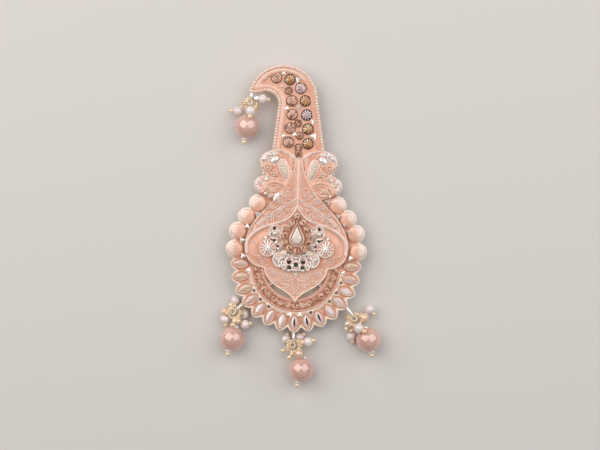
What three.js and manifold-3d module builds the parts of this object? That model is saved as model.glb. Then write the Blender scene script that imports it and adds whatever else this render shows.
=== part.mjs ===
// Turban brooch (kalgi) lying on its back: a hooked plume over a pear-shaped body of stacked cast plates,
// set with round, marquise and pear stones, with a pin behind and four pearl drops on jump rings.
// Millimetres, +Z up from the surface. While it is built, X = 0 is the body's mirror line, +Y points up the
// plume and the origin is the pear stone's centre; the last lines centre the brooch over its own footprint.
import * as THREE from "three";
import { mergeVertices } from "three/addons/utils/BufferGeometryUtils.js";
import Module from "manifold-3d";

const wasm = await Module();
wasm.setup();

// ---- driving dimensions ------------------------------------------------------------------------------------
const GAP = 0.3; // air between two pieces that rest on each other

// Layers, from the surface up: [underside, top] of each plate.
const LEVEL = {
  pinBar: [2.6, 3.3],
  backPlate: [3.6, 4.3],
  basePlate: [4.6, 6.0],
  platform: [5.9, 7.0],
  crescent: [6.3, 7.0],
  lotus: [7.3, 8.4],
  openwork: [8.7, 9.6],
  pearSetting: [9.9, 10.9],
  pearStone: [11.2, 12.9],
  shoulder: [6.3, 7.6],
};

// Plume: a hook with a straight stalk, a round crown and a rim round a sunk bed of stones.
const PLUME = {
  footY: 35.1,
  footPointY: 32.0,
  footLeft: -10.8,
  footRight: 10.1,
  crown: { x: -7, y: 54.8, radius: 14, endDeg: 170 },
  throat: { x: -13.9, y: 52.8, radius: 5, startDeg: 118 },
  rimWidth: 2.4,
  footWall: 0.9,
  bedTop: 5.8,
  rimTop: 7.0,
  soleZ: 4.6,
};
const PLUME_STONE = { radius: 2.1, height: 1.6 };
const PLUME_STONES = [
  { x: -9.9, y: 63.5 },
  { x: -4.5, y: 62.9 },
  { x: -0.1, y: 59.5 },
  { x: -3.5, y: 54.4 },
  { x: 1.9, y: 54.5 },
  { x: -3.2, y: 48.9 },
  { x: 2.6, y: 48.9 },
  { x: -3.9, y: 43.5 },
  { x: 3.2, y: 43.3 },
  { x: -4.4, y: 37.8 },
  { x: 3.4, y: 37.4 },
];

// Body: four domes down each side, then a fan of marquise petals on a circle round the crescent's centre.
const DOME = { radius: 3.2, height: 2.2, seatRadius: 3.75 };
const DOMES = [
  { x: 15.8, y: 13.0 },
  { x: 20.1, y: 7.6 },
  { x: 23.5, y: 1.8 },
  { x: 24.5, y: -5.4 },
];
const FAN = { y: -12, radius: 22.2, stepDeg: 13.14, perSide: 7 };
const PETAL = { length: 8.2, width: 6.2 };
const CUP = { length: 6.9, width: 4.5, wall: 0.35, top: 7.0, floor: 5.7 };
const PETAL_STONE = { length: 5.1, width: 3.0, height: 1.7 };
const FAN_PIERCING = { radius: 18.9, size: 0.75 };

// Right halves of the plates' outlines from the top down, each finished by an arc round the fan's centre.
const BODY_OUTLINE = [
  { x: 0, y: 31.6 },
  { x: 9.6, y: 34.5 },
  { x: 14.0, y: 30.5 },
  { x: 12.6, y: 24.8 },
  { x: 16.0, y: 20.0 },
  ...DOMES,
  { x: 21.5, y: -10.0 },
];
const BODY_ARC = { radius: 20, fromDeg: 88 };
const BACK_OUTLINE = [
  { x: 0, y: 46 },
  { x: 4.0, y: 46 },
  { x: 5.2, y: 30 },
  { x: 9.5, y: 20 },
  { x: 15.5, y: 6 },
  { x: 18.0, y: -6 },
];
const BACK_ARC = { radius: 17.5, fromDeg: 84 };
const PLATFORM_OUTLINE = [
  { x: 0, y: 26 },
  { x: 1.4, y: 26 },
  { x: 4.0, y: 16 },
  { x: 11.5, y: 6 },
  { x: 15.5, y: -1 },
  { x: 15.5, y: -6 },
  { x: 12.0, y: -9.6 },
  { x: 9.4, y: -13.0 },
  { x: 6.0, y: -16.5 },
  { x: 0, y: -19.5 },
];

const CRESCENT = { radius: 15.6, width: 4.0, wall: 0.45, floor: 6.6 };
const SLOT = { inner: 10.8, outer: 13.2, fromDeg: 12, toDeg: 50 };

// Windows through all the plates behind the openwork, each a rounded bar from one point to another.
const WINDOWS = [
  { from: [-8.6, 2.6], to: [-8.9, -4.6], radius: 1.7 },
  { from: [8.6, 2.6], to: [8.9, -4.6], radius: 1.7 },
  { from: [-4.2, -11.2], to: [4.2, -11.2], radius: 1.8 },
];

// Openwork gallery: an oval middle with three lobes on each side, and the holes drilled in it.
const GALLERY_MIDDLE = { y: -3.6, radiusX: 9.2, radiusY: 10.2 };
const GALLERY_LOBES = [
  { x: 11.4, y: -4.7, radius: 3.3 },
  { x: 8.6, y: 1.2, radius: 3.4 },
  { x: 6.8, y: -9.4, radius: 3.3 },
];
const GALLERY_HOLES = [
  { x: 8.7, y: 3.0, radius: 0.9 },
  { x: 9.0, y: -1.0, radius: 0.9 },
  { x: 7.6, y: -5.4, radius: 0.8 },
  { x: 6.2, y: -11.2, radius: 0.75 },
  { x: 2.8, y: -9.7, radius: 0.75 },
  { x: 2.8, y: -12.4, radius: 0.75 },
  { x: 0, y: -11.1, radius: 0.75 },
];

// Pear setting: the stone's outline, the bezel round it and the trough of halo stones round that.
const PEAR = { round: 2.35, tip: 4.9, bottom: -3.2 };
const BEZEL_WIDTH = 0.9;
const HALO = { width: 2.6, wall: 0.35, floor: 10.3 };

// Shoulders: two round lobes at each side of the neck, each with a raised boss, and a long one by the stem.
const SHOULDER = {
  upper: { x: 10.9, y: 29.5, radius: 4.7, bossRadius: 3.0, bossFoot: 4.2, bossHeight: 1.2 },
  lower: { x: 14.1, y: 20.4, radius: 3.6, bossRadius: 2.0, bossFoot: 3.1, bossHeight: 1.0 },
  paisley: { x: 6.4, y: 26.4, length: 12, width: 4.6, leanDeg: -8, top: 9.0 },
};

// Back pin: a bar with a hinge block and a catch, and the pin wire between them.
const PIN = { topY: 32, bottomY: -6, width: 5, block: 4.5, wireRadius: 0.5, wireZ: 1.1 };

// Drops. Each hangs by a jump ring in an upright eye that starts at a root on a plate's edge. The pearl's head
// pin points towards its end bead. Strings are short head pins off the ring: each starts at an angle round it
// and threads small beads and gold balls.
const PEARL = { radius: 5.1, bore: 0.7, pinRadius: 0.35, tipRadius: 1.1, tipAt: 6.3 };
const RING = { radius: 2.4, wire: 0.4, z: 4.9 };
const EYE = { height: 3.2, wire: 0.6, thickness: 1.1, z: 5.0 };
const LOOP = { radius: 1.1, offset: 0.15, wire: 0.3 };
const PIN_WIRE = 0.3;
const BALL_RADIUS = { bead: 1.65, gold: 0.75, collar: 1.05, cap: 1.6 };
const DROPS = [
  {
    name: "tip",
    root: { x: -19.6, y: 57.6 },
    ring: { x: -19.9, y: 53.0 },
    pearl: { x: -21.2, y: 43.6, towardX: -22.2, towardY: 37.3 },
    strings: [
      {
        fromDeg: 40,
        balls: [
          { kind: "collar", x: -17.7, y: 55.0, z: 6.6 },
          { kind: "bead", x: -15.2, y: 54.8, z: 6.0 },
          { kind: "gold", x: -13.1, y: 54.6, z: 5.6 },
        ],
      },
      {
        fromDeg: 180,
        balls: [
          { kind: "bead", x: -25.2, y: 49.9, z: 3.6 },
          { kind: "gold", x: -27.4, y: 49.9, z: 3.2 },
        ],
      },
      {
        fromDeg: -40,
        balls: [
          { kind: "bead", x: -19.9, y: 49.7, z: 8.4 },
          { kind: "gold", x: -19.9, y: 47.4, z: 9.8 },
        ],
      },
    ],
  },
  {
    name: "left",
    root: { x: -20.9, y: -27.2 },
    ring: { x: -24.3, y: -31.1 },
    pearl: { x: -24.6, y: -41.6, towardX: -26.2, towardY: -47.4 },
    strings: [
      {
        fromDeg: 90,
        balls: [
          { kind: "gold", x: -25.6, y: -28.0, z: 4.4 },
          { kind: "bead", x: -24.0, y: -26.2, z: 2.0 },
        ],
      },
      {
        fromDeg: -158,
        balls: [
          { kind: "gold", x: -28.6, y: -31.3, z: 3.4 },
          { kind: "bead", x: -28.5, y: -33.9, z: 3.4 },
          { kind: "gold", x: -27.9, y: -36.1, z: 3.0 },
        ],
      },
      {
        fromDeg: 0,
        balls: [
          { kind: "bead", x: -20.3, y: -31.6, z: 2.4 },
          { kind: "gold", x: -20.6, y: -29.5, z: 2.0 },
        ],
      },
      {
        fromDeg: -40,
        balls: [
          { kind: "gold", x: -22.4, y: -34.3, z: 5.6 },
          { kind: "bead", x: -19.8, y: -35.7, z: 3.6 },
          { kind: "gold", x: -17.6, y: -35.3, z: 3.1 },
        ],
      },
    ],
  },
  {
    name: "middle",
    root: { x: -0.2, y: -37.4 },
    ring: { x: 0.0, y: -43.8 },
    pearl: { x: 3.3, y: -53.2, towardX: 1.9, towardY: -59.3 },
    strings: [
      {
        fromDeg: 140,
        balls: [
          { kind: "bead", x: -3.1, y: -41.2, z: 2.0 },
          { kind: "gold", x: -2.6, y: -39.2, z: 1.6 },
        ],
      },
      {
        fromDeg: -155,
        balls: [{ kind: "gold", x: -4.2, y: -45.7, z: 4.5 }],
      },
      {
        fromDeg: 52,
        balls: [
          { kind: "bead", x: 2.2, y: -40.4, z: 2.0 },
          { kind: "gold", x: 3.8, y: -39.0, z: 2.2 },
        ],
      },
      {
        fromDeg: 15,
        balls: [
          { kind: "gold", x: 3.5, y: -42.0, z: 5.3 },
          { kind: "bead", x: 5.7, y: -41.9, z: 4.6 },
          { kind: "gold", x: 8.0, y: -41.3, z: 4.3 },
        ],
      },
      {
        fromDeg: -28,
        balls: [{ kind: "cap", x: 2.2, y: -46.6, z: 8.2 }],
      },
    ],
  },
  {
    name: "right",
    root: { x: 20.4, y: -26.9 },
    ring: { x: 24.4, y: -32.5 },
    pearl: { x: 29.9, y: -40.4, towardX: 31.3, towardY: -46.2 },
    strings: [
      {
        fromDeg: 45,
        balls: [
          { kind: "cap", x: 28.2, y: -31.4, z: 4.4 },
          { kind: "bead", x: 30.2, y: -28.3, z: 3.4 },
          { kind: "gold", x: 31.6, y: -30.0, z: 3.0 },
        ],
      },
      {
        fromDeg: -90,
        balls: [
          { kind: "bead", x: 25.8, y: -35.7, z: 8.4 },
          { kind: "gold", x: 28.0, y: -36.8, z: 9.7 },
        ],
      },
      {
        fromDeg: -135,
        balls: [
          { kind: "gold", x: 23.0, y: -37.0, z: 3.4 },
          { kind: "bead", x: 22.9, y: -39.3, z: 2.0 },
          { kind: "gold", x: 23.7, y: -41.4, z: 1.7 },
        ],
      },
    ],
  },
];

const MATERIAL = {
  enamel: new THREE.MeshStandardMaterial({ color: 0xf0b9a3, roughness: 0.35, metalness: 0.25 }),
  greyMetal: new THREE.MeshStandardMaterial({ color: 0x9a918a, roughness: 0.45, metalness: 0.8 }),
  silver: new THREE.MeshStandardMaterial({ color: 0xe8dcd6, roughness: 0.25, metalness: 0.9 }),
  gold: new THREE.MeshStandardMaterial({ color: 0xe6c28a, roughness: 0.25, metalness: 0.9 }),
  champagne: new THREE.MeshStandardMaterial({ color: 0xb98b74, roughness: 0.1, metalness: 0.5 }),
  opal: new THREE.MeshStandardMaterial({ color: 0xded0d8, roughness: 0.1, metalness: 0.3 }),
  pearl: new THREE.MeshStandardMaterial({ color: 0xd9aca0, roughness: 0.2, metalness: 0.3 }),
};

// ---- helpers -----------------------------------------------------------------------------------------------
const rad = THREE.MathUtils.degToRad;

// A closed three.js geometry as a manifold solid.
function solidOf(geometry) {
  const bare = new THREE.BufferGeometry();
  bare.setAttribute("position", geometry.getAttribute("position"));
  bare.setIndex(geometry.getIndex());
  const merged = mergeVertices(bare, 1e-4);
  return new wasm.Manifold(
    new wasm.Mesh({
      numProp: 3,
      vertProperties: merged.attributes.position.array,
      triVerts: new Uint32Array(merged.index.array),
    }),
  );
}

function geometryOf(solid) {
  const mesh = solid.getMesh();
  const geometry = new THREE.BufferGeometry();
  geometry.setAttribute("position", new THREE.BufferAttribute(mesh.vertProperties, 3));
  geometry.setIndex(new THREE.BufferAttribute(mesh.triVerts, 1));
  return geometry;
}

const join = (solids) => solids.reduce((all, one) => all.add(one));
const cutAll = (solid, tools) => tools.reduce((left, tool) => left.subtract(tool), solid);

// A flat plate of a 2D shape from one height to another.
function plate(shape, [bottom, top], curveSegments = 12) {
  const settings = { depth: top - bottom, bevelEnabled: false, curveSegments };
  return solidOf(new THREE.ExtrudeGeometry(shape, settings).translate(0, 0, bottom));
}

// A solid stacked from one convex outline, scaled to each row's share at that row's height.
function stack(outline, rows) {
  const n = outline.length;
  const position = rows.flatMap(({ z, share }) => outline.flatMap((p) => [p.x * share, p.y * share, z]));
  position.push(0, 0, rows[0].z, 0, 0, rows.at(-1).z);
  const index = [];
  for (let row = 0; row + 1 < rows.length; row++) {
    for (let i = 0; i < n; i++) {
      const a = row * n + i;
      const b = row * n + ((i + 1) % n);
      index.push(a, b, b + n, a, b + n, a + n);
    }
  }
  const [low, high, last] = [rows.length * n, rows.length * n + 1, (rows.length - 1) * n];
  for (let i = 0; i < n; i++) {
    index.push(low, (i + 1) % n, i, high, last + i, last + ((i + 1) % n));
  }
  const geometry = new THREE.BufferGeometry();
  geometry.setAttribute("position", new THREE.Float32BufferAttribute(position, 3));
  geometry.setIndex(index);
  return geometry;
}

// A round bar between two points.
function wire(from, to, radius, sides = 6) {
  const [a, b] = [new THREE.Vector3(...from), new THREE.Vector3(...to)];
  const along = b.clone().sub(a);
  const geometry = new THREE.CylinderGeometry(radius, radius, along.length(), sides);
  const turn = new THREE.Quaternion().setFromUnitVectors(new THREE.Vector3(0, 1, 0), along.normalize());
  geometry.applyQuaternion(turn);
  return solidOf(geometry.translate(...a.add(b).multiplyScalar(0.5).toArray()));
}

function ball(x, y, z, radius, segments = 7) {
  const geometry = new THREE.SphereGeometry(radius, segments, segments - 2);
  return solidOf(geometry.rotateX(Math.PI / 2).translate(x, y, z));
}

const circlePoints = (radius, count) =>
  Array.from({ length: count }, (_, i) => {
    const turn = (2 * Math.PI * i) / count;
    return new THREE.Vector2(radius * Math.cos(turn), radius * Math.sin(turn));
  });

// Marquise outline along Y: two arcs that meet in points.
function marquisePoints(length, width, perSide) {
  const radius = (length ** 2 + width ** 2) / (4 * width);
  const half = Math.asin(length / 2 / radius);
  const side = (sign) =>
    Array.from({ length: perSide }, (_, i) => {
      const turn = -half + (2 * half * i) / perSide;
      return new THREE.Vector2(
        sign * (radius * Math.cos(turn) - (radius - width / 2)),
        sign * radius * Math.sin(turn),
      );
    });
  return [...side(1), ...side(-1)];
}

// Pear outline: a round end about the origin and two straight flanks to a point up +Y, grown by an even margin.
function pearPoints(margin, count) {
  const radius = PEAR.round + margin;
  const tip = PEAR.tip + margin * 1.6;
  const touch = Math.acos(radius / (tip - PEAR.bottom - PEAR.round));
  const centreY = PEAR.bottom + PEAR.round;
  const from = Math.PI / 2 - touch;
  const arc = Array.from({ length: count }, (_, i) => {
    const turn = from - ((2 * Math.PI - 2 * touch) * i) / (count - 1);
    return new THREE.Vector2(radius * Math.cos(turn), centreY + radius * Math.sin(turn));
  });
  return [new THREE.Vector2(0, tip), ...arc].reverse();
}

// A shape and its mirror image from the points of its right half, listed from the top down.
function mirroredShape(points) {
  const left = points.filter((p) => Math.abs(p.x) > 1e-6).map((p) => new THREE.Vector2(-p.x, p.y));
  return new THREE.Shape([...points.slice().reverse(), ...left]);
}

// A rounded bar as a shape, for windows.
function barShape({ from, to, radius }) {
  const [a, b] = [new THREE.Vector2(...from), new THREE.Vector2(...to)];
  const heading = b.clone().sub(a).angle();
  return new THREE.Shape()
    .absarc(b.x, b.y, radius, heading - Math.PI / 2, heading + Math.PI / 2, false)
    .absarc(a.x, a.y, radius, heading + Math.PI / 2, heading + 1.5 * Math.PI, false);
}

// The band between two circles round the fan's centre, over angles counted from straight down.
function fanBand(inner, outer, fromDeg, toDeg, levels, segments = 24) {
  const [from, to] = [rad(fromDeg - 90), rad(toDeg - 90)];
  const shape = new THREE.Shape()
    .absarc(0, FAN.y, outer, from, to, false)
    .absarc(0, FAN.y, inner, to, from, true);
  return plate(shape, levels, segments);
}

// Place and heading of each petal, from the left end of the fan to the right.
const petals = Array.from({ length: 2 * FAN.perSide + 1 }, (_, i) => {
  const turn = rad((i - FAN.perSide) * FAN.stepDeg);
  return { turn, x: FAN.radius * Math.sin(turn), y: FAN.y - FAN.radius * Math.cos(turn) };
});

const flatHeading = (from, to) => Math.atan2(to.y - from.y, to.x - from.x);

const windowTools = (levels) => WINDOWS.map((w) => plate(barShape(w), [levels[0] - 1, levels[1] + 1], 5));

// ---- plume -------------------------------------------------------------------------------------------------
// The plume's outline drawn in by an inset at its sides and a wall at its pointed foot. The rim's outline ends
// in a short cut at the hook's tip, the bed's in a point.
function plumeShape(inset, footWall, crownEndDeg, throatStartDeg) {
  const { crown, throat, footY, footPointY, footLeft, footRight } = PLUME;
  return new THREE.Shape()
    .moveTo(footLeft + inset, footY + footWall)
    .lineTo(0, footPointY + footWall)
    .lineTo(footRight - inset, footY + footWall)
    .absarc(crown.x, crown.y, crown.radius - inset, 0, rad(crownEndDeg), false)
    .absarc(throat.x, throat.y, throat.radius + inset, rad(throatStartDeg), 0, true);
}

// Where the drawn-in crown and throat circles cross, as angles about each centre.
function bedPoint(inset) {
  const crown = new THREE.Vector2(PLUME.crown.x, PLUME.crown.y);
  const throat = new THREE.Vector2(PLUME.throat.x, PLUME.throat.y);
  const [r1, r2] = [PLUME.crown.radius - inset, PLUME.throat.radius + inset];
  const apart = crown.distanceTo(throat);
  const swing = Math.acos((r1 ** 2 + apart ** 2 - r2 ** 2) / (2 * r1 * apart));
  const crownTurn = throat.clone().sub(crown).angle() - swing;
  const meet = new THREE.Vector2(Math.cos(crownTurn), Math.sin(crownTurn)).multiplyScalar(r1).add(crown);
  return [crownTurn, meet.sub(throat).angle()].map(THREE.MathUtils.radToDeg);
}

function plume() {
  const { crown, throat, rimWidth, footWall, soleZ, rimTop, bedTop } = PLUME;
  const body = plate(plumeShape(0, 0, crown.endDeg, throat.startDeg), [soleZ, rimTop], 12);
  const bed = plate(plumeShape(rimWidth, footWall, ...bedPoint(rimWidth)), [bedTop, rimTop + 1], 9);
  return body.subtract(bed).add(eye(DROPS[0]));
}

// A round stone: a girdle, a sloped crown and a flat table.
function roundStone(x, y, bottom) {
  const rows = [
    { z: bottom, share: 0.8 },
    { z: bottom + 0.45 * PLUME_STONE.height, share: 1 },
    { z: bottom + PLUME_STONE.height, share: 0.55 },
  ];
  return stack(circlePoints(PLUME_STONE.radius, 10), rows).translate(x, y, 0);
}

// ---- body plates -------------------------------------------------------------------------------------------
// Upright eye from a plate's edge to just past the near side of its jump ring, with a hole along its length.
function eye({ root, ring }) {
  const half = EYE.height / 2;
  const reach = Math.hypot(ring.x - root.x, ring.y - root.y) - RING.radius;
  const length = reach + RING.wire + GAP + EYE.wire;
  const oval = (radius) =>
    new THREE.Shape()
      .absarc(length - half, 0, radius, -Math.PI / 2, Math.PI / 2, false)
      .absarc(half, 0, radius, Math.PI / 2, 1.5 * Math.PI, false);
  const shape = oval(half);
  shape.holes.push(oval(half - EYE.wire));
  const settings = { depth: EYE.thickness, bevelEnabled: false, curveSegments: 4 };
  const geometry = new THREE.ExtrudeGeometry(shape, settings);
  geometry.translate(0, 0, -EYE.thickness / 2).rotateX(Math.PI / 2).rotateZ(flatHeading(root, ring));
  return solidOf(geometry.translate(root.x, root.y, EYE.z));
}

// The right half of a plate's outline: its points, then an arc down to the foot of the fan's centre line.
function halfOutline(points, { radius, fromDeg }, steps) {
  const arc = Array.from({ length: steps + 1 }, (_, i) => {
    const turn = rad(fromDeg * (1 - i / steps));
    return new THREE.Vector2(radius * Math.sin(turn), FAN.y - radius * Math.cos(turn));
  });
  return [...points.map(({ x, y }) => new THREE.Vector2(x, y)), ...arc];
}

// A plate of marquise outline at a petal's place, its long axis away from the fan's centre.
function petalPlate({ turn, x, y }, length, width, levels) {
  const shape = new THREE.Shape(marquisePoints(length, width, 4));
  return plate(shape, levels).rotate([0, 0, THREE.MathUtils.radToDeg(turn)]).translate([x, y, 0]);
}

function domeSeat(x, y) {
  const shape = new THREE.Shape().absarc(x, y, DOME.seatRadius, 0, 2 * Math.PI, false);
  return plate(shape, LEVEL.basePlate, 8);
}

// Three-sided hole between a petal and the one before it.
function fanPiercing({ turn }, levels) {
  const between = turn - rad(FAN.stepDeg / 2);
  const { radius, size } = FAN_PIERCING;
  return plate(new THREE.Shape(circlePoints(size, 3)), levels)
    .rotate([0, 0, THREE.MathUtils.radToDeg(between) - 90])
    .translate([radius * Math.sin(between), FAN.y - radius * Math.cos(between), 0]);
}

// The cast plate that carries everything. Its raised platform holds the lotus plate clear of the crescent.
function basePlate() {
  const [bottom, top] = LEVEL.basePlate;
  const through = [bottom - 1, top + 1];
  const { fromDeg, toDeg, inner, outer } = SLOT;
  const body = join([
    plate(mirroredShape(halfOutline(BODY_OUTLINE, BODY_ARC, 9)), LEVEL.basePlate),
    plate(mirroredShape(PLATFORM_OUTLINE.map(({ x, y }) => new THREE.Vector2(x, y))), LEVEL.platform),
    ...DOMES.flatMap(({ x, y }) => [domeSeat(x, y), domeSeat(-x, y)]),
    ...petals.map((petal) => petalPlate(petal, PETAL.length, PETAL.width, LEVEL.basePlate)),
    ...petals.map((petal) => petalPlate(petal, CUP.length, CUP.width, [bottom, CUP.top])),
    ...DROPS.slice(1).map(eye),
  ]);
  return cutAll(body, [
    ...petals.map((petal) =>
      petalPlate(petal, CUP.length - 2.4 * CUP.wall, CUP.width - 2 * CUP.wall, [CUP.floor, CUP.top + 1]),
    ),
    ...petals.slice(1).map((petal) => fanPiercing(petal, through)),
    fanBand(inner, outer, fromDeg, toDeg, through, 6),
    fanBand(inner, outer, -toDeg, -fromDeg, through, 6),
    ...windowTools([bottom, LEVEL.platform[1]]),
  ]);
}

function backPlate() {
  const outline = mirroredShape(halfOutline(BACK_OUTLINE, BACK_ARC, 6));
  return cutAll(plate(outline, LEVEL.backPlate), windowTools(LEVEL.backPlate));
}

// Right half of the lotus plate's outline, from the stem's head to the point of the lower petal.
function lotusHalf() {
  const path = new THREE.Path()
    .moveTo(0, 31.2)
    .lineTo(1.5, 30.9)
    .bezierCurveTo(1.5, 24.0, 5.6, 17.4, 12.3, 11.6)
    .bezierCurveTo(17.0, 7.6, 20.4, 1.6, 20.7, -3.8)
    .bezierCurveTo(20.9, -9.0, 17.2, -12.5, 12.7, -12.6)
    .bezierCurveTo(12.4, -18.0, 6.6, -20.4, 3.4, -22.4)
    .bezierCurveTo(2.0, -23.3, 0.7, -24.6, 0, -26.2);
  return path.getPoints(6);
}

function lotusPlate() {
  return cutAll(plate(mirroredShape(lotusHalf()), LEVEL.lotus), windowTools(LEVEL.lotus));
}

// Openwork gallery round the pear setting, a scalloped plate pierced over the windows.
function openwork() {
  const { y: middleY, radiusX, radiusY } = GALLERY_MIDDLE;
  const [bottom, top] = LEVEL.openwork;
  const bothSides = ({ x, y, radius }) => (x === 0 ? [0] : [x, -x]).map((placeX) => ({ x: placeX, y, radius }));
  const middle = new THREE.Shape().absellipse(0, middleY, radiusX, radiusY, 0, 2 * Math.PI, false);
  const lobes = GALLERY_LOBES.flatMap(bothSides).map(({ x, y, radius }) =>
    plate(new THREE.Shape().absarc(x, y, radius, 0, 2 * Math.PI, false), LEVEL.openwork, 6),
  );
  const holes = GALLERY_HOLES.flatMap(bothSides).map(({ x, y, radius }) =>
    plate(new THREE.Shape(circlePoints(radius, 6)), [bottom - 1, top + 1]).translate([x, y, 0]),
  );
  return cutAll(join([plate(middle, LEVEL.openwork, 12), ...lobes]), holes);
}

// ---- settings and stones -----------------------------------------------------------------------------------
function pearSetting() {
  const [bottom, top] = LEVEL.pearSetting;
  const pearPlate = (margin, levels) => plate(new THREE.Shape(pearPoints(margin, 22)), levels);
  const outer = BEZEL_WIDTH + HALO.width;
  const trough = pearPlate(outer, [HALO.floor, top + 1]).subtract(pearPlate(BEZEL_WIDTH, [bottom, top + 2]));
  return pearPlate(outer + HALO.wall, LEVEL.pearSetting).subtract(trough);
}

function pearStone() {
  const [bottom, top] = LEVEL.pearStone;
  return stack(pearPoints(0, 12), [
    { z: bottom, share: 0.9 },
    { z: bottom + 0.7, share: 1 },
    { z: top, share: 0.6 },
  ]);
}

function crescent() {
  const { radius, width, wall, floor } = CRESCENT;
  const [bottom, top] = LEVEL.crescent;
  const [inner, outer] = [radius - width / 2, radius + width / 2];
  const band = fanBand(inner, outer, -88, 88, [bottom, top], 14);
  return band.subtract(fanBand(inner + wall, outer - wall, -90, 90, [floor, top + 1], 14));
}

function petalStone({ turn, x, y }) {
  const bottom = CUP.floor + GAP;
  const rows = [
    { z: bottom, share: 0.85 },
    { z: bottom + 0.5 * PETAL_STONE.height, share: 1 },
    { z: bottom + PETAL_STONE.height, share: 0.4 },
  ];
  return stack(marquisePoints(PETAL_STONE.length, PETAL_STONE.width, 4), rows).rotateZ(turn).translate(x, y, 0);
}

function dome(x, y) {
  const bottom = LEVEL.basePlate[1] + GAP;
  const rows = [0, 30, 60].map((deg) => ({
    z: bottom + 0.25 + (DOME.height - 0.25) * Math.sin(rad(deg)),
    share: Math.cos(rad(deg)),
  }));
  return stack(circlePoints(DOME.radius, 12), [{ z: bottom, share: 1 }, ...rows]).translate(x, y, 0);
}

// ---- shoulders ---------------------------------------------------------------------------------------------
function shoulder(sign) {
  const { upper, lower, paisley } = SHOULDER;
  const [bottom, top] = LEVEL.shoulder;
  const shape = new THREE.Shape()
    .moveTo(2.1, 31.9)
    .bezierCurveTo(2.3, 26.6, 5.0, 20.4, 10.6, 15.2)
    .lineTo(11.8, 16.6)
    .absarc(lower.x, lower.y, lower.radius, rad(-78), rad(72), false)
    .lineTo(13.4, 24.9)
    .absarc(upper.x, upper.y, upper.radius, rad(-40), rad(78), false)
    .lineTo(9.4, 34.0);
  const boss = ({ x, y, bossRadius, bossFoot, bossHeight }) =>
    solidOf(
      new THREE.CylinderGeometry(bossRadius, bossFoot, bossHeight, 12)
        .rotateX(Math.PI / 2)
        .translate(x, y, top + 0.4 * bossHeight),
    );
  const relief = join([
    plate(shape, LEVEL.shoulder, 9),
    plate(new THREE.Shape(marquisePoints(paisley.length, paisley.width, 6)), [bottom, paisley.top])
      .rotate([0, 0, paisley.leanDeg])
      .translate([paisley.x, paisley.y, 0]),
    boss(upper),
    boss(lower),
  ]);
  return sign > 0 ? relief : relief.mirror([1, 0, 0]);
}

// ---- back pin ----------------------------------------------------------------------------------------------
function backPin() {
  const { topY, bottomY, width, block, wireRadius, wireZ } = PIN;
  const box = (x, y, [low, high], lengthY) =>
    solidOf(new THREE.BoxGeometry(x, lengthY, high - low).translate(0, y, (low + high) / 2));
  const [barBottom, barTop] = LEVEL.pinBar;
  return join([
    box(width, (topY + bottomY) / 2, [barBottom, barTop], topY - bottomY),
    box(width, topY - block / 2, [0, barBottom + 0.2], block),
    box(width, bottomY + block / 2, [0, barBottom + 0.2], block),
    wire([0, bottomY + 1, wireZ], [0, topY - 1, wireZ], wireRadius, 8),
  ]);
}

// ---- drops -------------------------------------------------------------------------------------------------
function pearl({ pearl: place }) {
  const { radius, bore } = PEARL;
  const start = Math.asin(bore / radius);
  const rows = 7;
  const profile = Array.from({ length: rows + 1 }, (_, i) => {
    const turn = start + ((Math.PI - 2 * start) * i) / rows;
    return new THREE.Vector2(radius * Math.sin(turn), -radius * Math.cos(turn));
  });
  const bored = new THREE.LatheGeometry([...profile, profile[0]], 14);
  const heading = Math.atan2(place.towardY - place.y, place.towardX - place.x);
  return bored.rotateZ(heading - Math.PI / 2).translate(place.x, place.y, radius);
}

// Head pin through the big pearl: an end bead beyond it, and behind it a loop round the jump ring.
function pearlPin({ pearl: place, ring }) {
  const heading = Math.atan2(place.towardY - place.y, place.towardX - place.x);
  const along = (distance) => [
    place.x + distance * Math.cos(heading),
    place.y + distance * Math.sin(heading),
    PEARL.radius,
  ];
  const out = flatHeading(ring, place);
  const fromRing = (distance) => [
    ring.x + (RING.radius + distance) * Math.cos(out),
    ring.y + (RING.radius + distance) * Math.sin(out),
    RING.z,
  ];
  const loop = new THREE.TorusGeometry(LOOP.radius, LOOP.wire, 4, 10).rotateX(Math.PI / 2).rotateZ(out);
  const neck = along(-PEARL.radius - 0.3);
  return join([
    wire(neck, along(PEARL.tipAt), PEARL.pinRadius),
    ball(...along(PEARL.tipAt), PEARL.tipRadius),
    ball(...neck, PEARL.pinRadius, 6),
    wire(fromRing(LOOP.offset + LOOP.radius), neck, LOOP.wire, 5),
    solidOf(loop.translate(...fromRing(LOOP.offset))),
  ]);
}

// Jump ring with its strings of small beads.
function cluster({ ring, strings }) {
  const torus = new THREE.TorusGeometry(RING.radius, RING.wire, 5, 14);
  const jump = solidOf(torus.translate(ring.x, ring.y, RING.z));
  const threaded = strings.flatMap(({ fromDeg, balls }) => {
    const turn = rad(fromDeg);
    const start = [ring.x + RING.radius * Math.cos(turn), ring.y + RING.radius * Math.sin(turn), RING.z];
    const stops = [start, ...balls.map(({ x, y, z }) => [x, y, z])];
    return [
      ...balls.map(({ kind, x, y, z }) => ball(x, y, z, BALL_RADIUS[kind], kind === "gold" ? 6 : 7)),
      ...balls.map((_, i) => wire(stops[i], stops[i + 1], PIN_WIRE, 5)),
    ];
  });
  return join([jump, ...threaded]);
}

// ---- assembly ----------------------------------------------------------------------------------------------
const brooch = new THREE.Group();
function add(name, shape, material) {
  const geometry = shape.isBufferGeometry ? shape : geometryOf(shape);
  const mesh = new THREE.Mesh(geometry, material);
  mesh.name = name;
  brooch.add(mesh);
}

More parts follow.
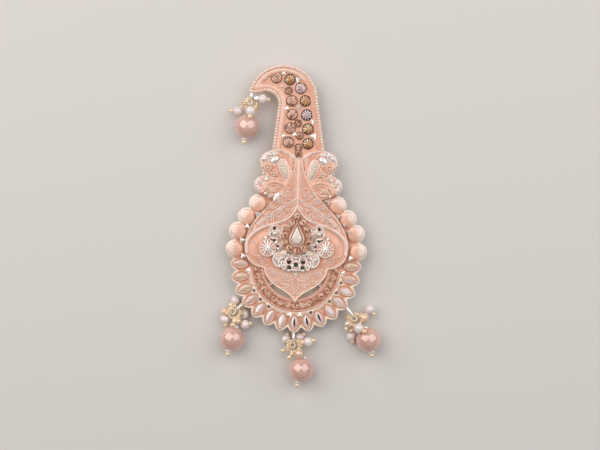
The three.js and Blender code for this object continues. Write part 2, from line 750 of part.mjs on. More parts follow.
add("back_pin", backPin(), MATERIAL.greyMetal);
add("back_plate", backPlate(), MATERIAL.greyMetal);
add("base_plate", basePlate(), MATERIAL.enamel);
add("plume", plume(), MATERIAL.enamel);
PLUME_STONES.forEach(({ x, y }, i) => {
  add(`plume_stone_${i + 1}`, roundStone(x, y, PLUME.bedTop + GAP), MATERIAL.champagne);
});
add("shoulder_left", shoulder(-1), MATERIAL.enamel);
add("shoulder_right", shoulder(1), MATERIAL.enamel);
DOMES.forEach(({ x, y }, i) => {
  add(`dome_left_${i + 1}`, dome(-x, y), MATERIAL.enamel);
  add(`dome_right_${i + 1}`, dome(x, y), MATERIAL.enamel);
});
petals.forEach((petal, i) => add(`petal_stone_${i + 1}`, petalStone(petal), MATERIAL.opal));
add("crescent_setting", crescent(), MATERIAL.enamel);
add("lotus_plate", lotusPlate(), MATERIAL.enamel);
add("openwork_gallery", openwork(), MATERIAL.silver);
add("pear_setting", pearSetting(), MATERIAL.silver);
add("pear_stone", pearStone(), MATERIAL.opal);
for (const drop of DROPS) {
  add(`pearl_${drop.name}`, pearl(drop), MATERIAL.pearl);
  add(`pearl_pin_${drop.name}`, pearlPin(drop), MATERIAL.gold);
  add(`bead_cluster_${drop.name}`, cluster(drop), MATERIAL.gold);
}

// The origin is the middle of the brooch's footprint on the surface.
const footprint = new THREE.Box3().setFromObject(brooch);
const middle = footprint.getCenter(new THREE.Vector3());
brooch.position.set(-middle.x, -middle.y, -footprint.min.z);

export default brooch;
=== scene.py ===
import math

import bpy
import numpy as np
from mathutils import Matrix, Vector, geometry


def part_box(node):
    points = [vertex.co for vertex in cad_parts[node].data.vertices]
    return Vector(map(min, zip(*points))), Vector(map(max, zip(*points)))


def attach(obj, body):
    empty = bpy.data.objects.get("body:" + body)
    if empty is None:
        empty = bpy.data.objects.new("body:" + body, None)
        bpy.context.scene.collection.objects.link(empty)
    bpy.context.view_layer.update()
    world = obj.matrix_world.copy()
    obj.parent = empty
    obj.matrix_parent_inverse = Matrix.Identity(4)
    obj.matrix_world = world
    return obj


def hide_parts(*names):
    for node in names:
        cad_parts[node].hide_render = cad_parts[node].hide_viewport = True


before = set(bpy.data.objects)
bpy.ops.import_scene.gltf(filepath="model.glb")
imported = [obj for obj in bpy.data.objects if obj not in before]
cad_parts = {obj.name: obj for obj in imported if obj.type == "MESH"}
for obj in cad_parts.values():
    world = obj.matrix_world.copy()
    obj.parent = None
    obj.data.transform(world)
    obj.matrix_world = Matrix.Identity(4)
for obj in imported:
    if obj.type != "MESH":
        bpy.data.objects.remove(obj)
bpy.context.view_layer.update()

# ---- Table, lights and camera ---------------------------------------------------------------------------
# The brooch lies on its back on a plain pale table, under two big soft boxes, one each side of the camera.
# Places are in millimetres from the pear stone's centre, +X right, +Y up the plume and +Z off the table.
MM = 0.001
PEAR_TIP = 4.9  # from the pear stone's centre up to its point
pear_low, pear_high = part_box("pear_stone")
CENTRE = np.array([(pear_low.x + pear_high.x) / 2, pear_high.y - PEAR_TIP * MM, 0.0])


def metres(points):
    return np.asarray(points, float) * MM + CENTRE


def tone(red, green, blue):
    """A colour given from 0 to 255 as a shader takes it."""
    parts = [c / 255 for c in (red, green, blue)]
    return (*[c / 12.92 if c <= 0.04045 else ((c + 0.055) / 1.055) ** 2.4 for c in parts], 1.0)


def placed(name, data):
    """A new object in the scene."""
    thing = bpy.data.objects.new(name, data)
    bpy.context.scene.collection.objects.link(thing)
    return thing


def shaded(name, values):
    """A material, its node tree and its shader, the shader's inputs set by name."""
    made = bpy.data.materials.new(name)
    made.use_nodes = True
    shader = made.node_tree.nodes["Principled BSDF"]
    for label, value in values.items():
        shader.inputs[label].default_value = value
    return made, made.node_tree, shader


TABLE_HALF = 3.0
table_corners = [(x * TABLE_HALF, y * TABLE_HALF, 0) for x, y in ((-1, -1), (1, -1), (1, 1), (-1, 1))]
table_mesh = bpy.data.meshes.new("table_top")
table_mesh.from_pydata(table_corners, [], [(0, 1, 2, 3)])
table_mesh.materials.append(shaded("pale_table", {"Base Color": tone(226, 221, 216), "Roughness": 0.8})[0])
placed("table_top", table_mesh)

bpy.context.scene.view_settings.view_transform = "Standard"
surroundings = bpy.data.worlds.new("studio")
surroundings.use_nodes = True
glow = surroundings.node_tree.nodes["Background"].inputs
glow["Color"].default_value = (1.0, 0.98, 0.96, 1.0)
glow["Strength"].default_value = 0.22
bpy.context.scene.world = surroundings

BOX_WIDTH, BOX_LENGTH = 0.84, 1.0


def soft_box(name, place, watts, colour):
    lamp = bpy.data.lights.new(name, "AREA")
    lamp.shape = "RECTANGLE"
    lamp.size, lamp.size_y = BOX_WIDTH, BOX_LENGTH
    lamp.energy = watts
    lamp.color = colour
    holder = placed(name, lamp)
    holder.location = Vector(place)
    holder.rotation_mode = "QUATERNION"
    holder.rotation_quaternion = (-Vector(place)).to_track_quat("-Z", "Y")


soft_box("left_box", (-0.46, 0.30, 0.58), 4.6, (1.0, 0.98, 0.96))
soft_box("right_box", (0.46, 0.30, 0.58), 3.6, (0.98, 0.98, 1.0))

VIEW_WIDTH = 240.0  # across the whole view, at the height of the brooch's face
FACE_HEIGHT = 6.0
LENS, SENSOR = 100.0, 36.0
VIEW_MIDDLE = (1.16, 4.84)
LEAN = math.radians(1.64)  # the brooch lies turned a little clockwise
camera_data = bpy.data.cameras.new("overhead")
camera_data.lens, camera_data.sensor_width = LENS, SENSOR
camera = placed("overhead", camera_data)
camera.location = metres((*VIEW_MIDDLE, FACE_HEIGHT + VIEW_WIDTH * LENS / SENSOR))
camera.rotation_euler = (0, 0, LEAN)
bpy.context.scene.camera = camera

# ---- Back pin and back plate ----------------------------------------------------------------------------
# A pin bar with its hinge block, catch and wire, and the plain sheet that backs the casting, soldered on.
# Both are grey base metal, tumbled and left unpolished; the sheet shows in the slots by the lower petal.


def added(tree, kind, values, **settings):
    """A new node of a tree, its inputs set by name or place and its settings by name."""
    node = tree.nodes.new(kind)
    for label, value in settings.items():
        setattr(node, label, value)
    for key, value in values.items():
        node.inputs[key].default_value = value
    return node


def joined(tree, *links):
    """Links between nodes, each (from, output, to, input)."""
    for giver, output, taker, entry in links:
        tree.links.new(giver.outputs[output], taker.inputs[entry])


def finish(
    name, slot, pale, deep, patch, roughness, metallic, grain, coat=0.0,
    ridge=None, hollow=None, bump=0.25, coat_roughness=0.12, coat_ior=1.5,
):
    """A look, which is a material and its slot. Its colour drifts between two tones in patches of a size in
    mm, with fine grain. A piece's rim attribute brings the ridge tone in at 1 and the hollow tone at -1.
    Several pieces bring the hollow tone into their grooves, creases and recesses as painted shade."""
    coat_values = {"Coat Weight": coat, "Coat Roughness": coat_roughness, "Coat IOR": coat_ior}
    made, tree, shader = shaded(name, {"Metallic": metallic, **coat_values})
    place = tree.nodes.new("ShaderNodeTexCoord")

    def clouds(size, detail):
        node = added(tree, "ShaderNodeTexNoise", {"Scale": 1 / (size * MM), "Detail": detail})
        joined(tree, (place, "Object", node, "Vector"))
        return node.outputs["Fac"]

    def spread(value, *ends):
        """A value taken from one span, low and high, to another."""
        node = added(tree, "ShaderNodeMapRange", dict(enumerate(ends, 1)))
        tree.links.new(value, node.inputs["Value"])
        return node.outputs["Result"]

    def mixed(share, under, over):
        node = added(tree, "ShaderNodeMix", {}, data_type="RGBA")
        tree.links.new(share, node.inputs[0])
        node.inputs[7].default_value = tone(*over)
        if isinstance(under, tuple):
            node.inputs[6].default_value = tone(*under)
        else:
            tree.links.new(under, node.inputs[6])
        return node.outputs[2]

    colour = mixed(spread(clouds(patch, 3.0), 0.35, 0.65, 0, 1), pale, deep)
    if ridge or hollow:
        rim = added(tree, "ShaderNodeAttribute", {}, attribute_name="rim")
    for tinge, full in ((ridge, 1), (hollow, -1)):
        if tinge:
            colour = mixed(spread(rim.outputs["Fac"], 0, full, 0, 1), colour, tinge)
    tree.links.new(colour, shader.inputs["Base Color"])
    speck = clouds(grain, 4.0)
    tree.links.new(spread(speck, 0.3, 0.7, roughness * 0.8, roughness * 1.25), shader.inputs["Roughness"])
    dents = added(tree, "ShaderNodeBump", {"Strength": bump, "Distance": 0.05 * MM})
    tree.links.new(speck, dents.inputs["Height"])
    joined(tree, (dents, "Normal", shader, "Normal"))
    return made, slot


grey_metal = finish("tumbled_grey_metal", "grey_metal", (240, 228, 216), (220, 208, 196), 3.0, 0.45, 0.2, 0.3)
for node in ("back_pin", "back_plate"):
    cad_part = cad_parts[node]
    cad_part.data.materials.clear()
    cad_part.data.materials.append(grey_metal[0])

# ---- Base casting ---------------------------------------------------------------------------------------
# The cast plate that carries everything: dome seats down both sides and a fan of pointed petals below,
# lacquered peach and wiped back so that its edges are bare silvery plate. It is pierced by small windows.
CHUNK = 4000  # points measured at a time


def paint(thing, name, values):
    """A number at every point of a piece, which its finish reads."""
    layer = thing.data.attributes.new(name, "FLOAT", "POINT")
    layer.data.foreach_set("value", np.asarray(values, np.float32))


def fixed(thing, replaces):
    """A finished piece fixed to the brooch."""
    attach(thing, "root")
    if replaces:
        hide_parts(*replaces)
    return thing


def piece(name, points, faces, look, replaces=(), smooth=True, rim=None):
    """A finished piece from points in millimetres."""
    mesh = bpy.data.meshes.new(name)
    mesh.from_pydata(metres(points).tolist(), [], [tuple(int(i) for i in face) for face in faces])
    mesh.polygons.foreach_set("use_smooth", np.full(len(mesh.polygons), smooth))
    mesh.materials.append(look[0])
    thing = fixed(placed(name, mesh), replaces)
    if rim is not None:
        paint(thing, "rim", rim)
    return thing


def path(start, *moves, steps=10):
    """A line from a start through straight moves (x, y) and curved ones (two handles and an end)."""
    line = [np.array(start, float)]
    for move in moves:
        if np.ndim(move) == 1:
            line.append(np.array(move, float))
            continue
        a, (b, c, d) = line[-1], np.array(move, float)
        for t in np.linspace(0, 1, steps + 1)[1:]:
            line.append((1 - t) ** 3 * a + 3 * (1 - t) ** 2 * t * b + 3 * (1 - t) * t**2 * c + t**3 * d)
    return np.array(line)


def arc(centre, radius, start, end, count):
    """Points round a centre from one angle to another, in degrees."""
    turn = np.radians(np.linspace(start, end, count))
    return np.column_stack([centre[0] + radius * np.cos(turn), centre[1] + radius * np.sin(turn)])


def at_turn(centre, radius, turn):
    return arc(centre, radius, turn, turn, 1)[0]


def ring(centre, radius, count=24):
    return arc(centre, radius, 0, 360, count + 1)[:-1]


def marquise(length, width, count):
    """A pointed oval along Y about the origin."""
    radius = (length**2 + width**2) / (4 * width)
    half = math.degrees(math.asin(length / 2 / radius))
    side = arc((width / 2 - radius, 0), radius, -half, half, count + 1)[:-1]
    return np.concatenate([side, -side])


def turned(line, degrees, place=(0, 0)):
    c, s = math.cos(math.radians(degrees)), math.sin(math.radians(degrees))
    return np.asarray(line) @ np.array([[c, s], [-s, c]]) + np.array(place)


def mirrored(line):
    return np.asarray(line)[::-1] * np.array([-1, 1])


def whole(half):
    """An outline from its right half, which runs from the middle line back to it."""
    return np.concatenate([half, mirrored(half)[1:-1]])


def level(places, height):
    """Flat places at one height, or each at its own."""
    return np.column_stack([places, np.broadcast_to(height, len(places))])


def leftward(run):
    """Steps of 1 mm to the left of each run."""
    return np.column_stack([-run[:, 1], run[:, 0]]) / np.linalg.norm(run, axis=1)[:, None]


def from_segments(points, start, end):
    """How far each point lies from the nearest of the segments."""
    run = end - start
    length = np.maximum((run**2).sum(1), 1e-12)
    nearest = np.empty(len(points))
    for low in range(0, len(points), CHUNK):
        offset = points[low : low + CHUNK, None] - start[None]
        share = np.clip((offset * run).sum(2) / length, 0, 1)
        nearest[low : low + CHUNK] = np.sqrt(((offset - share[..., None] * run) ** 2).sum(2).min(1))
    return nearest


def from_line(points, line):
    line = np.asarray(line, float)
    return from_segments(points, line[:-1], line[1:])


def inside(points, loop):
    """Whether each point lies within a loop."""
    x, y = loop[:, 0], loop[:, 1]
    next_x, next_y = np.roll(x, -1), np.roll(y, -1)
    rise = np.where(next_y == y, 1e-12, next_y - y)
    within = np.empty(len(points), bool)
    for low in range(0, len(points), CHUNK):
        px, py = points[low : low + CHUNK, :1], points[low : low + CHUNK, 1:]
        spans = (y > py) != (next_y > py)
        within[low : low + CHUNK] = (spans & (px < x + (py - y) / rise * (next_x - x))).sum(1) % 2 == 1
    return within


def covered(points, shapes, holes):
    """Whether each point lies in any of the shapes and in none of the holes."""
    found = np.zeros(len(points), bool)
    for shape in shapes:
        found |= inside(points, shape)
    for hole in holes:
        found &= ~inside(points, hole)
    return found


def meshed(points, edges, shapes, holes):
    """Triangles over the shapes, their directed border edges, and each corner's place in the given points."""
    corners, _, faces, given, _, _ = geometry.delaunay_2d_cdt([Vector(p) for p in points], edges, [], 0, 1e-5)
    corners = np.array([c[:] for c in corners])
    faces = np.array(faces)
    faces = faces[covered(corners[faces].mean(1), shapes, holes)]
    sides = {(int(f[i]), int(f[i - 2])) for f in faces for i in range(3)}
    border = sorted(side for side in sides if (side[1], side[0]) not in sides)
    return corners, faces, border, [g[0] if g else -1 for g in given]


def chained(loops):
    """All the loops' points, and the edges that join them up."""
    edges, first = [], 0
    for loop in loops:
        edges += [(first + i, first + (i + 1) % len(loop)) for i in range(len(loop))]
        first += len(loop)
    return np.concatenate(loops), edges


def relief(name, shapes, holes, surface, look, replaces=(), *, bottom, step=0.3, rows=(0.12, 0.3, 0.6)):
    """A plate over all the shapes less the holes, from its bottom height up to its surface, which gives
    heights and rim values from places and edge distances. Its points lie a step apart, and in rows along
    its edges. The answer is a function from places to the face's height there."""
    loops = [np.asarray(loop, float) for loop in [*shapes, *holes]]
    shapes, holes = loops[: len(shapes)], loops[len(shapes) :]
    corners, _, border, _ = meshed(*chained(loops), shapes, holes)
    start, end = (corners[list(ids)] for ids in zip(*border))
    run = end - start
    inner = []
    for row in rows:
        for share in (0.0, 0.5):
            moved = start + share * run + row * leftward(run)
            kept = (from_segments(moved, start, end) > 0.9 * row) & covered(moved, shapes, holes)
            inner.append(moved[kept])
    low, high = np.minimum(start, end).min(0), np.maximum(start, end).max(0)
    grid_x, grid_y = np.meshgrid(np.arange(low[0], high[0], step), np.arange(low[1], high[1], step * 0.866))
    grid_x[1::2] += step / 2
    grid = np.stack([grid_x.ravel(), grid_y.ravel()], 1)
    grid = grid[covered(grid, shapes, holes)]
    inner.append(grid[from_segments(grid, start, end) > rows[-1] + step * 0.4])
    inner = np.concatenate(inner)
    _, kept = np.unique(np.round(inner / (step * 0.35)), axis=0, return_index=True)
    ids = {}
    for corner in (corner for side in border for corner in side):
        ids.setdefault(corner, len(ids))
    outline = corners[list(ids)]
    edges = [(ids[a], ids[b]) for a, b in border]
    flat, faces, border, _ = meshed(np.concatenate([outline, inner[np.sort(kept)]]), edges, shapes, holes)
    away = from_segments(flat, start, end)
    rim_ids = sorted({a for a, _ in border})
    away[rim_ids] = 0
    height, shine = surface(flat, away)
    place = {a: i for i, a in enumerate(rim_ids)}
    rim_edges = [(place[a], place[b]) for a, b in border]
    walls = [(b, a, len(flat) + place[a], len(flat) + place[b]) for a, b in border]
    _, under, _, given = meshed(flat[rim_ids], rim_edges, shapes, holes)
    base = [[len(flat) + given[i] for i in face[::-1]] for face in under]
    points = np.concatenate([level(flat, height), level(flat[rim_ids], bottom)])
    rims = np.concatenate([shine, np.maximum(shine[rim_ids], 0)])
    thing = piece(name, points, [*faces.tolist(), *walls, *base], look, replaces, rim=rims)
    ends = np.empty(2 * len(thing.data.edges), int)
    thing.data.edges.foreach_get("vertices", ends)
    ends = ends.reshape(-1, 2)
    on_rim = np.isin(ends, rim_ids).all(1) | (ends >= len(flat)).all(1)
    thing.data.attributes.new("sharp_edge", "BOOLEAN", "EDGE").data.foreach_set("value", on_rim)

    def face_height(places):
        places = np.asarray(places, float)
        return surface(places, from_segments(places, start, end))[0]

    return face_height


def swell(distance, width):
    """A rounded ridge's height share, 1 on its middle line and 0 past half its width."""
    return np.sqrt(np.clip(1 - (distance / (width / 2)) ** 2, 0, 1))


def ramp(value, low, high):
    """A soft step from 0 to 1."""
    t = np.clip((value - low) / (high - low), 0, 1)
    return t * t * (3 - 2 * t)


peach_lacquer = finish(
    "peach_lacquer", "peach_lacquer", (245, 188, 161), (238, 171, 143), 3.0, 0.32, 0.15, 0.35,
    coat=0.35, ridge=(252, 232, 216), hollow=(184, 114, 72),
)

FAN_CENTRE = (0, -12)  # the petals, the crescent and the slots all go round it
FAN_RADIUS, FAN_STEP, PETALS = 22.2, 13.14, 15
PETAL_LENGTH, PETAL_WIDTH = 8.2, 6.2
petal_turns = [FAN_STEP * i for i in range(-7, 8)]
petal_places = [at_turn(FAN_CENTRE, FAN_RADIUS, turn - 90) for turn in petal_turns]
DOME_PLACES = [(15.8, 13.0), (20.1, 7.6), (23.5, 1.8), (24.5, -5.4)]
DOME_SEAT = 3.75
BODY_TOP = [(9.6, 34.5), (14.0, 30.5), (12.6, 24.8), (16.0, 20.0)]
body_half = path((0, 31.6), *BODY_TOP, *DOME_PLACES, (21.5, -10.0))
body_half = np.concatenate([body_half, arc(FAN_CENTRE, 20.0, -2, -90, 24)])
SLOT_INNER, SLOT_OUTER = 10.8, 13.0
right_slot = [arc(FAN_CENTRE, SLOT_OUTER, -80, -38, 12), arc(FAN_CENTRE, SLOT_INNER, -38, -80, 12)]
right_slot = np.concatenate(right_slot)
# Windows with rounded ends, each (start, end, radius).
WINDOWS = [((-8.6, 2.6), (-8.9, -4.6), 1.7), ((8.6, 2.6), (8.9, -4.6), 1.7)]
WINDOWS += [((-4.2, -11.2), (4.2, -11.2), 1.8)]
window_loops = []
for start, end, radius in WINDOWS:
    heading = math.degrees(math.atan2(end[1] - start[1], end[0] - start[0]))
    round_end = arc(end, radius, heading - 90, heading + 90, 8)
    window_loops.append(np.concatenate([round_end, arc(start, radius, heading + 90, heading + 270, 8)]))
PIERCED_GAPS = (-4.5, -3.5, -2.5, 1.5, 3.5, 4.5, 5.5)  # petal gaps left open, counted from the middle petal
PIERCED_RADIUS, HOLE_RADIUS = 19.1, 0.95
piercings = []
for turn in [gap * FAN_STEP for gap in PIERCED_GAPS]:
    place = at_turn(FAN_CENTRE, PIERCED_RADIUS, turn - 90)
    piercings.append(turned(ring((0, 0), HOLE_RADIUS, 3), turn - 90, place))
BASE_UNDER, BASE_FACE = 4.6, 5.75
BAND_RADIUS, BAND_WIDTH = 18.5, 2.4  # the raised band the petals spring from


def from_fan(places):
    """How far places lie from the fan's centre."""
    return np.hypot(places[:, 0] - FAN_CENTRE[0], places[:, 1] - FAN_CENTRE[1])


def base_surface(places, depth):
    below = ramp(-12.5 - places[:, 1], 0, 2)
    band = swell(from_fan(places) - BAND_RADIUS, BAND_WIDTH) * below
    edge = 1 - ramp(depth, 0.45, 0.85)
    height = BASE_FACE + 0.3 * edge + 0.7 * band
    shine = np.maximum(edge, 0.5 * band)
    for x, y in DOME_PLACES:
        for side in (1, -1):
            height += 0.3 * (1 - ramp(np.hypot(places[:, 0] - side * x, places[:, 1] - y), 3.3, 3.7))
    creases = np.full(len(places), 9.0)
    for turn in petal_turns[1:]:
        line = [at_turn(FAN_CENTRE, radius, turn - FAN_STEP / 2 - 90) for radius in (19.6, 24)]
        creases = np.minimum(creases, from_line(places, line))
    # The creases between the petals dip a little and are painted darker, as shade.
    shaded_crease = (1 - ramp(creases, 0.1, 0.6)) * (depth > 0.1)
    return height - 0.15 * shaded_crease, np.clip(shine - 0.25 * shaded_crease + 0.3 * below, -1, 1)


base_shapes = [whole(body_half)]
base_shapes += [ring((side * x, y), DOME_SEAT, 36) for x, y in DOME_PLACES for side in (1, -1)]
petal_outline = marquise(PETAL_LENGTH, PETAL_WIDTH, 10)
base_shapes += [turned(petal_outline, turn, place) for turn, place in zip(petal_turns, petal_places)]
base_holes = [right_slot, mirrored(right_slot), *window_loops, *piercings]
relief(
    "base_casting", base_shapes, base_holes, base_surface, peach_lacquer, ["base_plate"],
    bottom=BASE_UNDER, step=0.5,
)
platform_half = [(0, 26), (1.4, 26), (4, 16), (11.5, 6), (15.5, -1), (15.5, -6), (12, -9.6)]
platform_half = np.array(platform_half + [(9.4, -13), (6, -16.5), (0, -19.5)], float)
PLATFORM_UNDER, PLATFORM_TOP = 5.6, 7.25


def platform_surface(places, depth):
    return np.full(len(places), PLATFORM_TOP), np.zeros(len(places))


relief(
    "lotus_platform", [whole(platform_half)], window_loops, platform_surface, peach_lacquer,
    bottom=PLATFORM_UNDER, step=3.0,
)

# ---- Petal cups and their stones ------------------------------------------------------------------------
# A thin bezel wall rubbed over the edge of a marquise crystal in every petal. The walls are peach with a
# brown-gold line left in the corner; the crystals are foil-backed and milky, pink, lilac and olive.


def node_tree(name, inputs):
    """A node tree with a mesh in and out and named inputs."""
    tree = bpy.data.node_groups.new(name, "GeometryNodeTree")
    tree.interface.new_socket("Geometry", in_out="INPUT", socket_type="NodeSocketGeometry")
    tree.interface.new_socket("Geometry", in_out="OUTPUT", socket_type="NodeSocketGeometry")
    for label, kind in inputs.items():
        tree.interface.new_socket(label, in_out="INPUT", socket_type="NodeSocket" + kind)
    return tree, tree.nodes.new("NodeGroupInput"), tree.nodes.new("NodeGroupOutput")


def named(tree, label):
    """A node that reads a number painted on the points."""
    return added(tree, "GeometryNodeInputNamedAttribute", {"Name": label}, data_type="FLOAT")


def ended(tree, source, made, output, sink):
    """Realize Instances and Set Material, which close every tree."""
    real = tree.nodes.new("GeometryNodeRealizeInstances")
    dressed = tree.nodes.new("GeometryNodeSetMaterial")
    joined(
        tree,
        (made, output, real, "Geometry"),
        (real, "Geometry", dressed, "Geometry"),
        (source, "Finish", dressed, "Material"),
        (dressed, "Geometry", sink, "Geometry"),
    )


def grown(name, points, edges, tree, settings, look, replaces=(), **values):
    """What a tree grows on points, and the edges that join them, kept as a plain mesh."""
    mesh = bpy.data.meshes.new(name + "_lines")
    mesh.from_pydata(metres(points).tolist(), edges, [])
    thing = placed(name, mesh)
    for label, numbers in values.items():
        paint(thing, label, np.broadcast_to(numbers, len(points)))
    growth = thing.modifiers.new("growth", "NODES")
    growth.node_group = tree
    settings = {**settings, "Finish": look[0]}
    for socket in tree.interface.items_tree:
        if socket.in_out == "INPUT" and socket.name in settings:
            growth[socket.identifier] = settings[socket.name]
    graph = bpy.context.evaluated_depsgraph_get()
    source = thing.evaluated_get(graph)
    made = bpy.data.meshes.new_from_object(source, preserve_all_data_layers=True, depsgraph=graph)
    thing.modifiers.clear()
    thing.data = made
    return fixed(thing, replaces)


# The tree that puts one copy of a pattern piece on every point, at the point's size and turn.
set_tree, source, sink = node_tree("set_pieces", {"Pattern": "Object", "Finish": "Material"})
pattern = set_tree.nodes.new("GeometryNodeObjectInfo")
copies = set_tree.nodes.new("GeometryNodeInstanceOnPoints")
turning = set_tree.nodes.new("ShaderNodeCombineXYZ")
joined(
    set_tree,
    (source, "Pattern", pattern, "Object"),
    (source, "Geometry", copies, "Points"),
    (pattern, "Geometry", copies, "Instance"),
    (named(set_tree, "turn"), "Attribute", turning, "Z"),
    (turning, "Vector", copies, "Rotation"),
    (named(set_tree, "size"), "Attribute", copies, "Scale"),
)
ended(set_tree, source, copies, "Instances", sink)


def sparkle(thing, table):
    """Paints every facet of set stones from a table of one row a stone and one column a facet: the stone's
    tint with painted reflections and glints.
    """
    data = thing.data
    facet, stone = np.empty(len(data.polygons), np.int32), np.empty(len(data.vertices), np.float32)
    data.attributes["facet"].data.foreach_get("value", facet)
    data.attributes["stone"].data.foreach_get("value", stone)
    first, corner = np.empty(len(data.polygons), np.int32), np.empty(len(data.loops), np.int32)
    data.polygons.foreach_get("loop_start", first)
    data.loops.foreach_get("vertex_index", corner)
    of_stone = np.round(stone[corner[first]]).astype(int)
    layer = data.attributes.new("spark", "FLOAT", "FACE")
    layer.data.foreach_set("value", np.asarray(table, np.float32)[of_stone, facet])


def set_pieces(name, places, pattern, look, replaces=(), size=1.0, turn=0.0, smooth=False, sparks=None):
    """Copies of a pattern (its points in mm, faces and rim values) at 3D places. A crystal needs sparks."""
    points, faces, rim = pattern
    mesh = bpy.data.meshes.new(name + "_pattern")
    mesh.from_pydata((np.asarray(points) * MM).tolist(), [], faces)
    mesh.polygons.foreach_set("use_smooth", np.full(len(mesh.polygons), smooth))
    form = placed(name + "_pattern", mesh)
    paint(form, "rim", rim)
    facet = mesh.attributes.new("facet", "INT", "FACE")
    facet.data.foreach_set("value", np.arange(len(faces), dtype=np.int32))
    values = {"size": size, "turn": turn, "stone": np.arange(len(places))}
    made = grown(name, places, [], set_tree, {"Pattern": form}, look, replaces, **values)
    bpy.data.objects.remove(form)
    if sparks is not None:
        sparkle(made, sparks)


def banded(rows, n):
    """The faces between rows of n points, each row a closed ring."""
    quads = []
    for low, high in ((row * n, row * n + n) for row in range(rows - 1)):
        quads += [(low + i, low + (i + 1) % n, high + (i + 1) % n, high + i) for i in range(n)]
    return quads


def stacked(outline, rows):
    """A solid from one outline scaled in rows of (share, height), closed at both ends.
    A share may be a pair, across and along."""
    n, last = len(outline), (len(rows) - 1) * len(outline)
    points = [(*(np.array(p) * share), z) for share, z in rows for p in outline]
    points += [(0, 0, rows[0][1]), (0, 0, rows[-1][1])]
    faces = banded(len(rows), n) + [(len(points) - 2, (i + 1) % n, i) for i in range(n)]
    faces += [(len(points) - 1, last + i, last + (i + 1) % n) for i in range(n)]
    return points, faces, [0.0] * len(points)


def collar(outer, rows):
    """A closed wall round an outline: rows of (offset inwards, height, rim) taken once round its section."""
    inwards = leftward(np.roll(outer, -1, axis=0) - np.roll(outer, 1, axis=0))
    points = [(*(p + offset * q), z) for offset, z, _ in rows for p, q in zip(outer, inwards)]
    faces = [tuple(i % len(points) for i in face) for face in banded(len(rows) + 1, len(outer))]
    return points, faces, [rim for _, _, rim in rows for _ in outer]


def crystal(name, slot, tones, metallic, roughness=0.12, milk=0.3):
    """A foil-backed stone's look. Each facet's tone comes from its spark, dark at 0 and light at 1, and
    drifts in cloudy patches by the milk's share. The sparks give the stone's tint together with painted
    reflections: dark facets stand for mirrored dark surroundings and light ones for painted glints."""
    made, tree, shader = shaded(name, {"Metallic": metallic, "Coat Weight": 0.8, "Coat Roughness": 0.05})
    spark = added(tree, "ShaderNodeAttribute", {}, attribute_name="spark")
    tones_ramp = tree.nodes.new("ShaderNodeValToRGB")
    stops = tones_ramp.color_ramp.elements
    while len(stops) < len(tones):
        stops.new(0.5)
    for i, (stop, colour) in enumerate(zip(stops, tones)):
        stop.position, stop.color = i / (len(tones) - 1), tone(*colour)
    place = tree.nodes.new("ShaderNodeTexCoord")
    cloud = added(tree, "ShaderNodeTexNoise", {"Scale": 1 / (0.8 * MM)})
    drift = added(tree, "ShaderNodeMath", {1: milk}, operation="MULTIPLY_ADD")
    shifted = added(tree, "ShaderNodeMath", {1: milk / 2}, operation="SUBTRACT")
    gloss = added(tree, "ShaderNodeMath", {1: roughness, 2: roughness / 2}, operation="MULTIPLY_ADD")
    joined(
        tree,
        (place, "Object", cloud, "Vector"),
        (cloud, "Fac", drift, 0),
        (spark, "Fac", drift, 2),
        (drift, "Value", shifted, 0),
        (shifted, "Value", tones_ramp, "Fac"),
        (tones_ramp, "Color", shader, "Base Color"),
        (cloud, "Fac", gloss, 0),
        (gloss, "Value", shader, "Roughness"),
    )
    return made, slot


petal_seats = level(petal_places, 0)
petal_radians = np.radians(petal_turns)
bezel_section = [(-0.3, 5.6, 0.6), (-0.12, 6.0, 0.6), (0.02, 6.4, 0.4), (0.1, 6.6, -0.75), (0.26, 6.7, -0.75)]
bezel_section += [(0.34, 6.7, 0.3), (0.5, 6.6, 0.8), (0.8, 6.3, 0.7), (0.9, 5.6, 0.4)]
bezel = collar(marquise(7.1, 4.1, 10), bezel_section)
set_pieces("petal_bezels", petal_seats, bezel, peach_lacquer, turn=petal_radians, smooth=True)
bezel_gold = finish(
    "bezel_brown_gold", "gold_plate", (206, 142, 98), (186, 122, 80), 1.2, 0.3, 0.3, 0.2,
    coat=0.3, ridge=(240, 196, 156),
)
gold_section = [(-0.05, 5.8, 0), (0.0, 6.66, 0), (0.12, 6.8, 0.4), (0.26, 6.8, 0), (0.32, 5.8, 0)]
gold_line = collar(marquise(6.9, 3.9, 10), gold_section)
set_pieces("petal_bezel_lines", petal_seats, gold_line, bezel_gold, turn=petal_radians, smooth=True)
opal_tones = [(44, 34, 30), (200, 166, 126), (234, 206, 170)]
opal_tones += [(240, 192, 178), (228, 204, 214), (255, 248, 240)]
opal_foil = crystal("opal_foil_crystal", "opal_crystal", opal_tones, 0.1, 0.2, 0.7)
petal_stone = stacked(marquise(5.8, 2.8, 5), [(0.9, 5.9), (1.0, 6.5), (0.84, 6.9), ((0.3, 0.62), 7.15)])
# A petal stone's facets 20 to 29 are its crown, one long side and then the other, and 40 to 49 its table.
# The end petals' stones are the darker ones. One long side of each crown is painted lighter than the other,
# as a lit side and a shaded side, and three tables near the middle are painted nearly black as dark
# reflections.
rng = np.random.default_rng(7)
petal_sparks = rng.uniform(0.5, 0.95, (PETALS, len(petal_stone[1])))
petal_sparks[:, 20:25] = rng.uniform(0.62, 0.8, (PETALS, 1))
petal_sparks[:, 25:30] = rng.uniform(0.85, 1.05, (PETALS, 1))
petal_sparks[:, 40:50] = rng.uniform(0.6, 1.05, (PETALS, 1))
petal_sparks[:4, 20:50] -= 0.35
petal_sparks[13:, 20:50] -= 0.3
petal_sparks[7:10, 40:50] = -0.3
petal_nodes = [f"petal_stone_{i + 1}" for i in range(PETALS)]
set_pieces(
    "petal_gems", petal_seats, petal_stone, opal_foil, petal_nodes, turn=petal_radians, sparks=petal_sparks
)

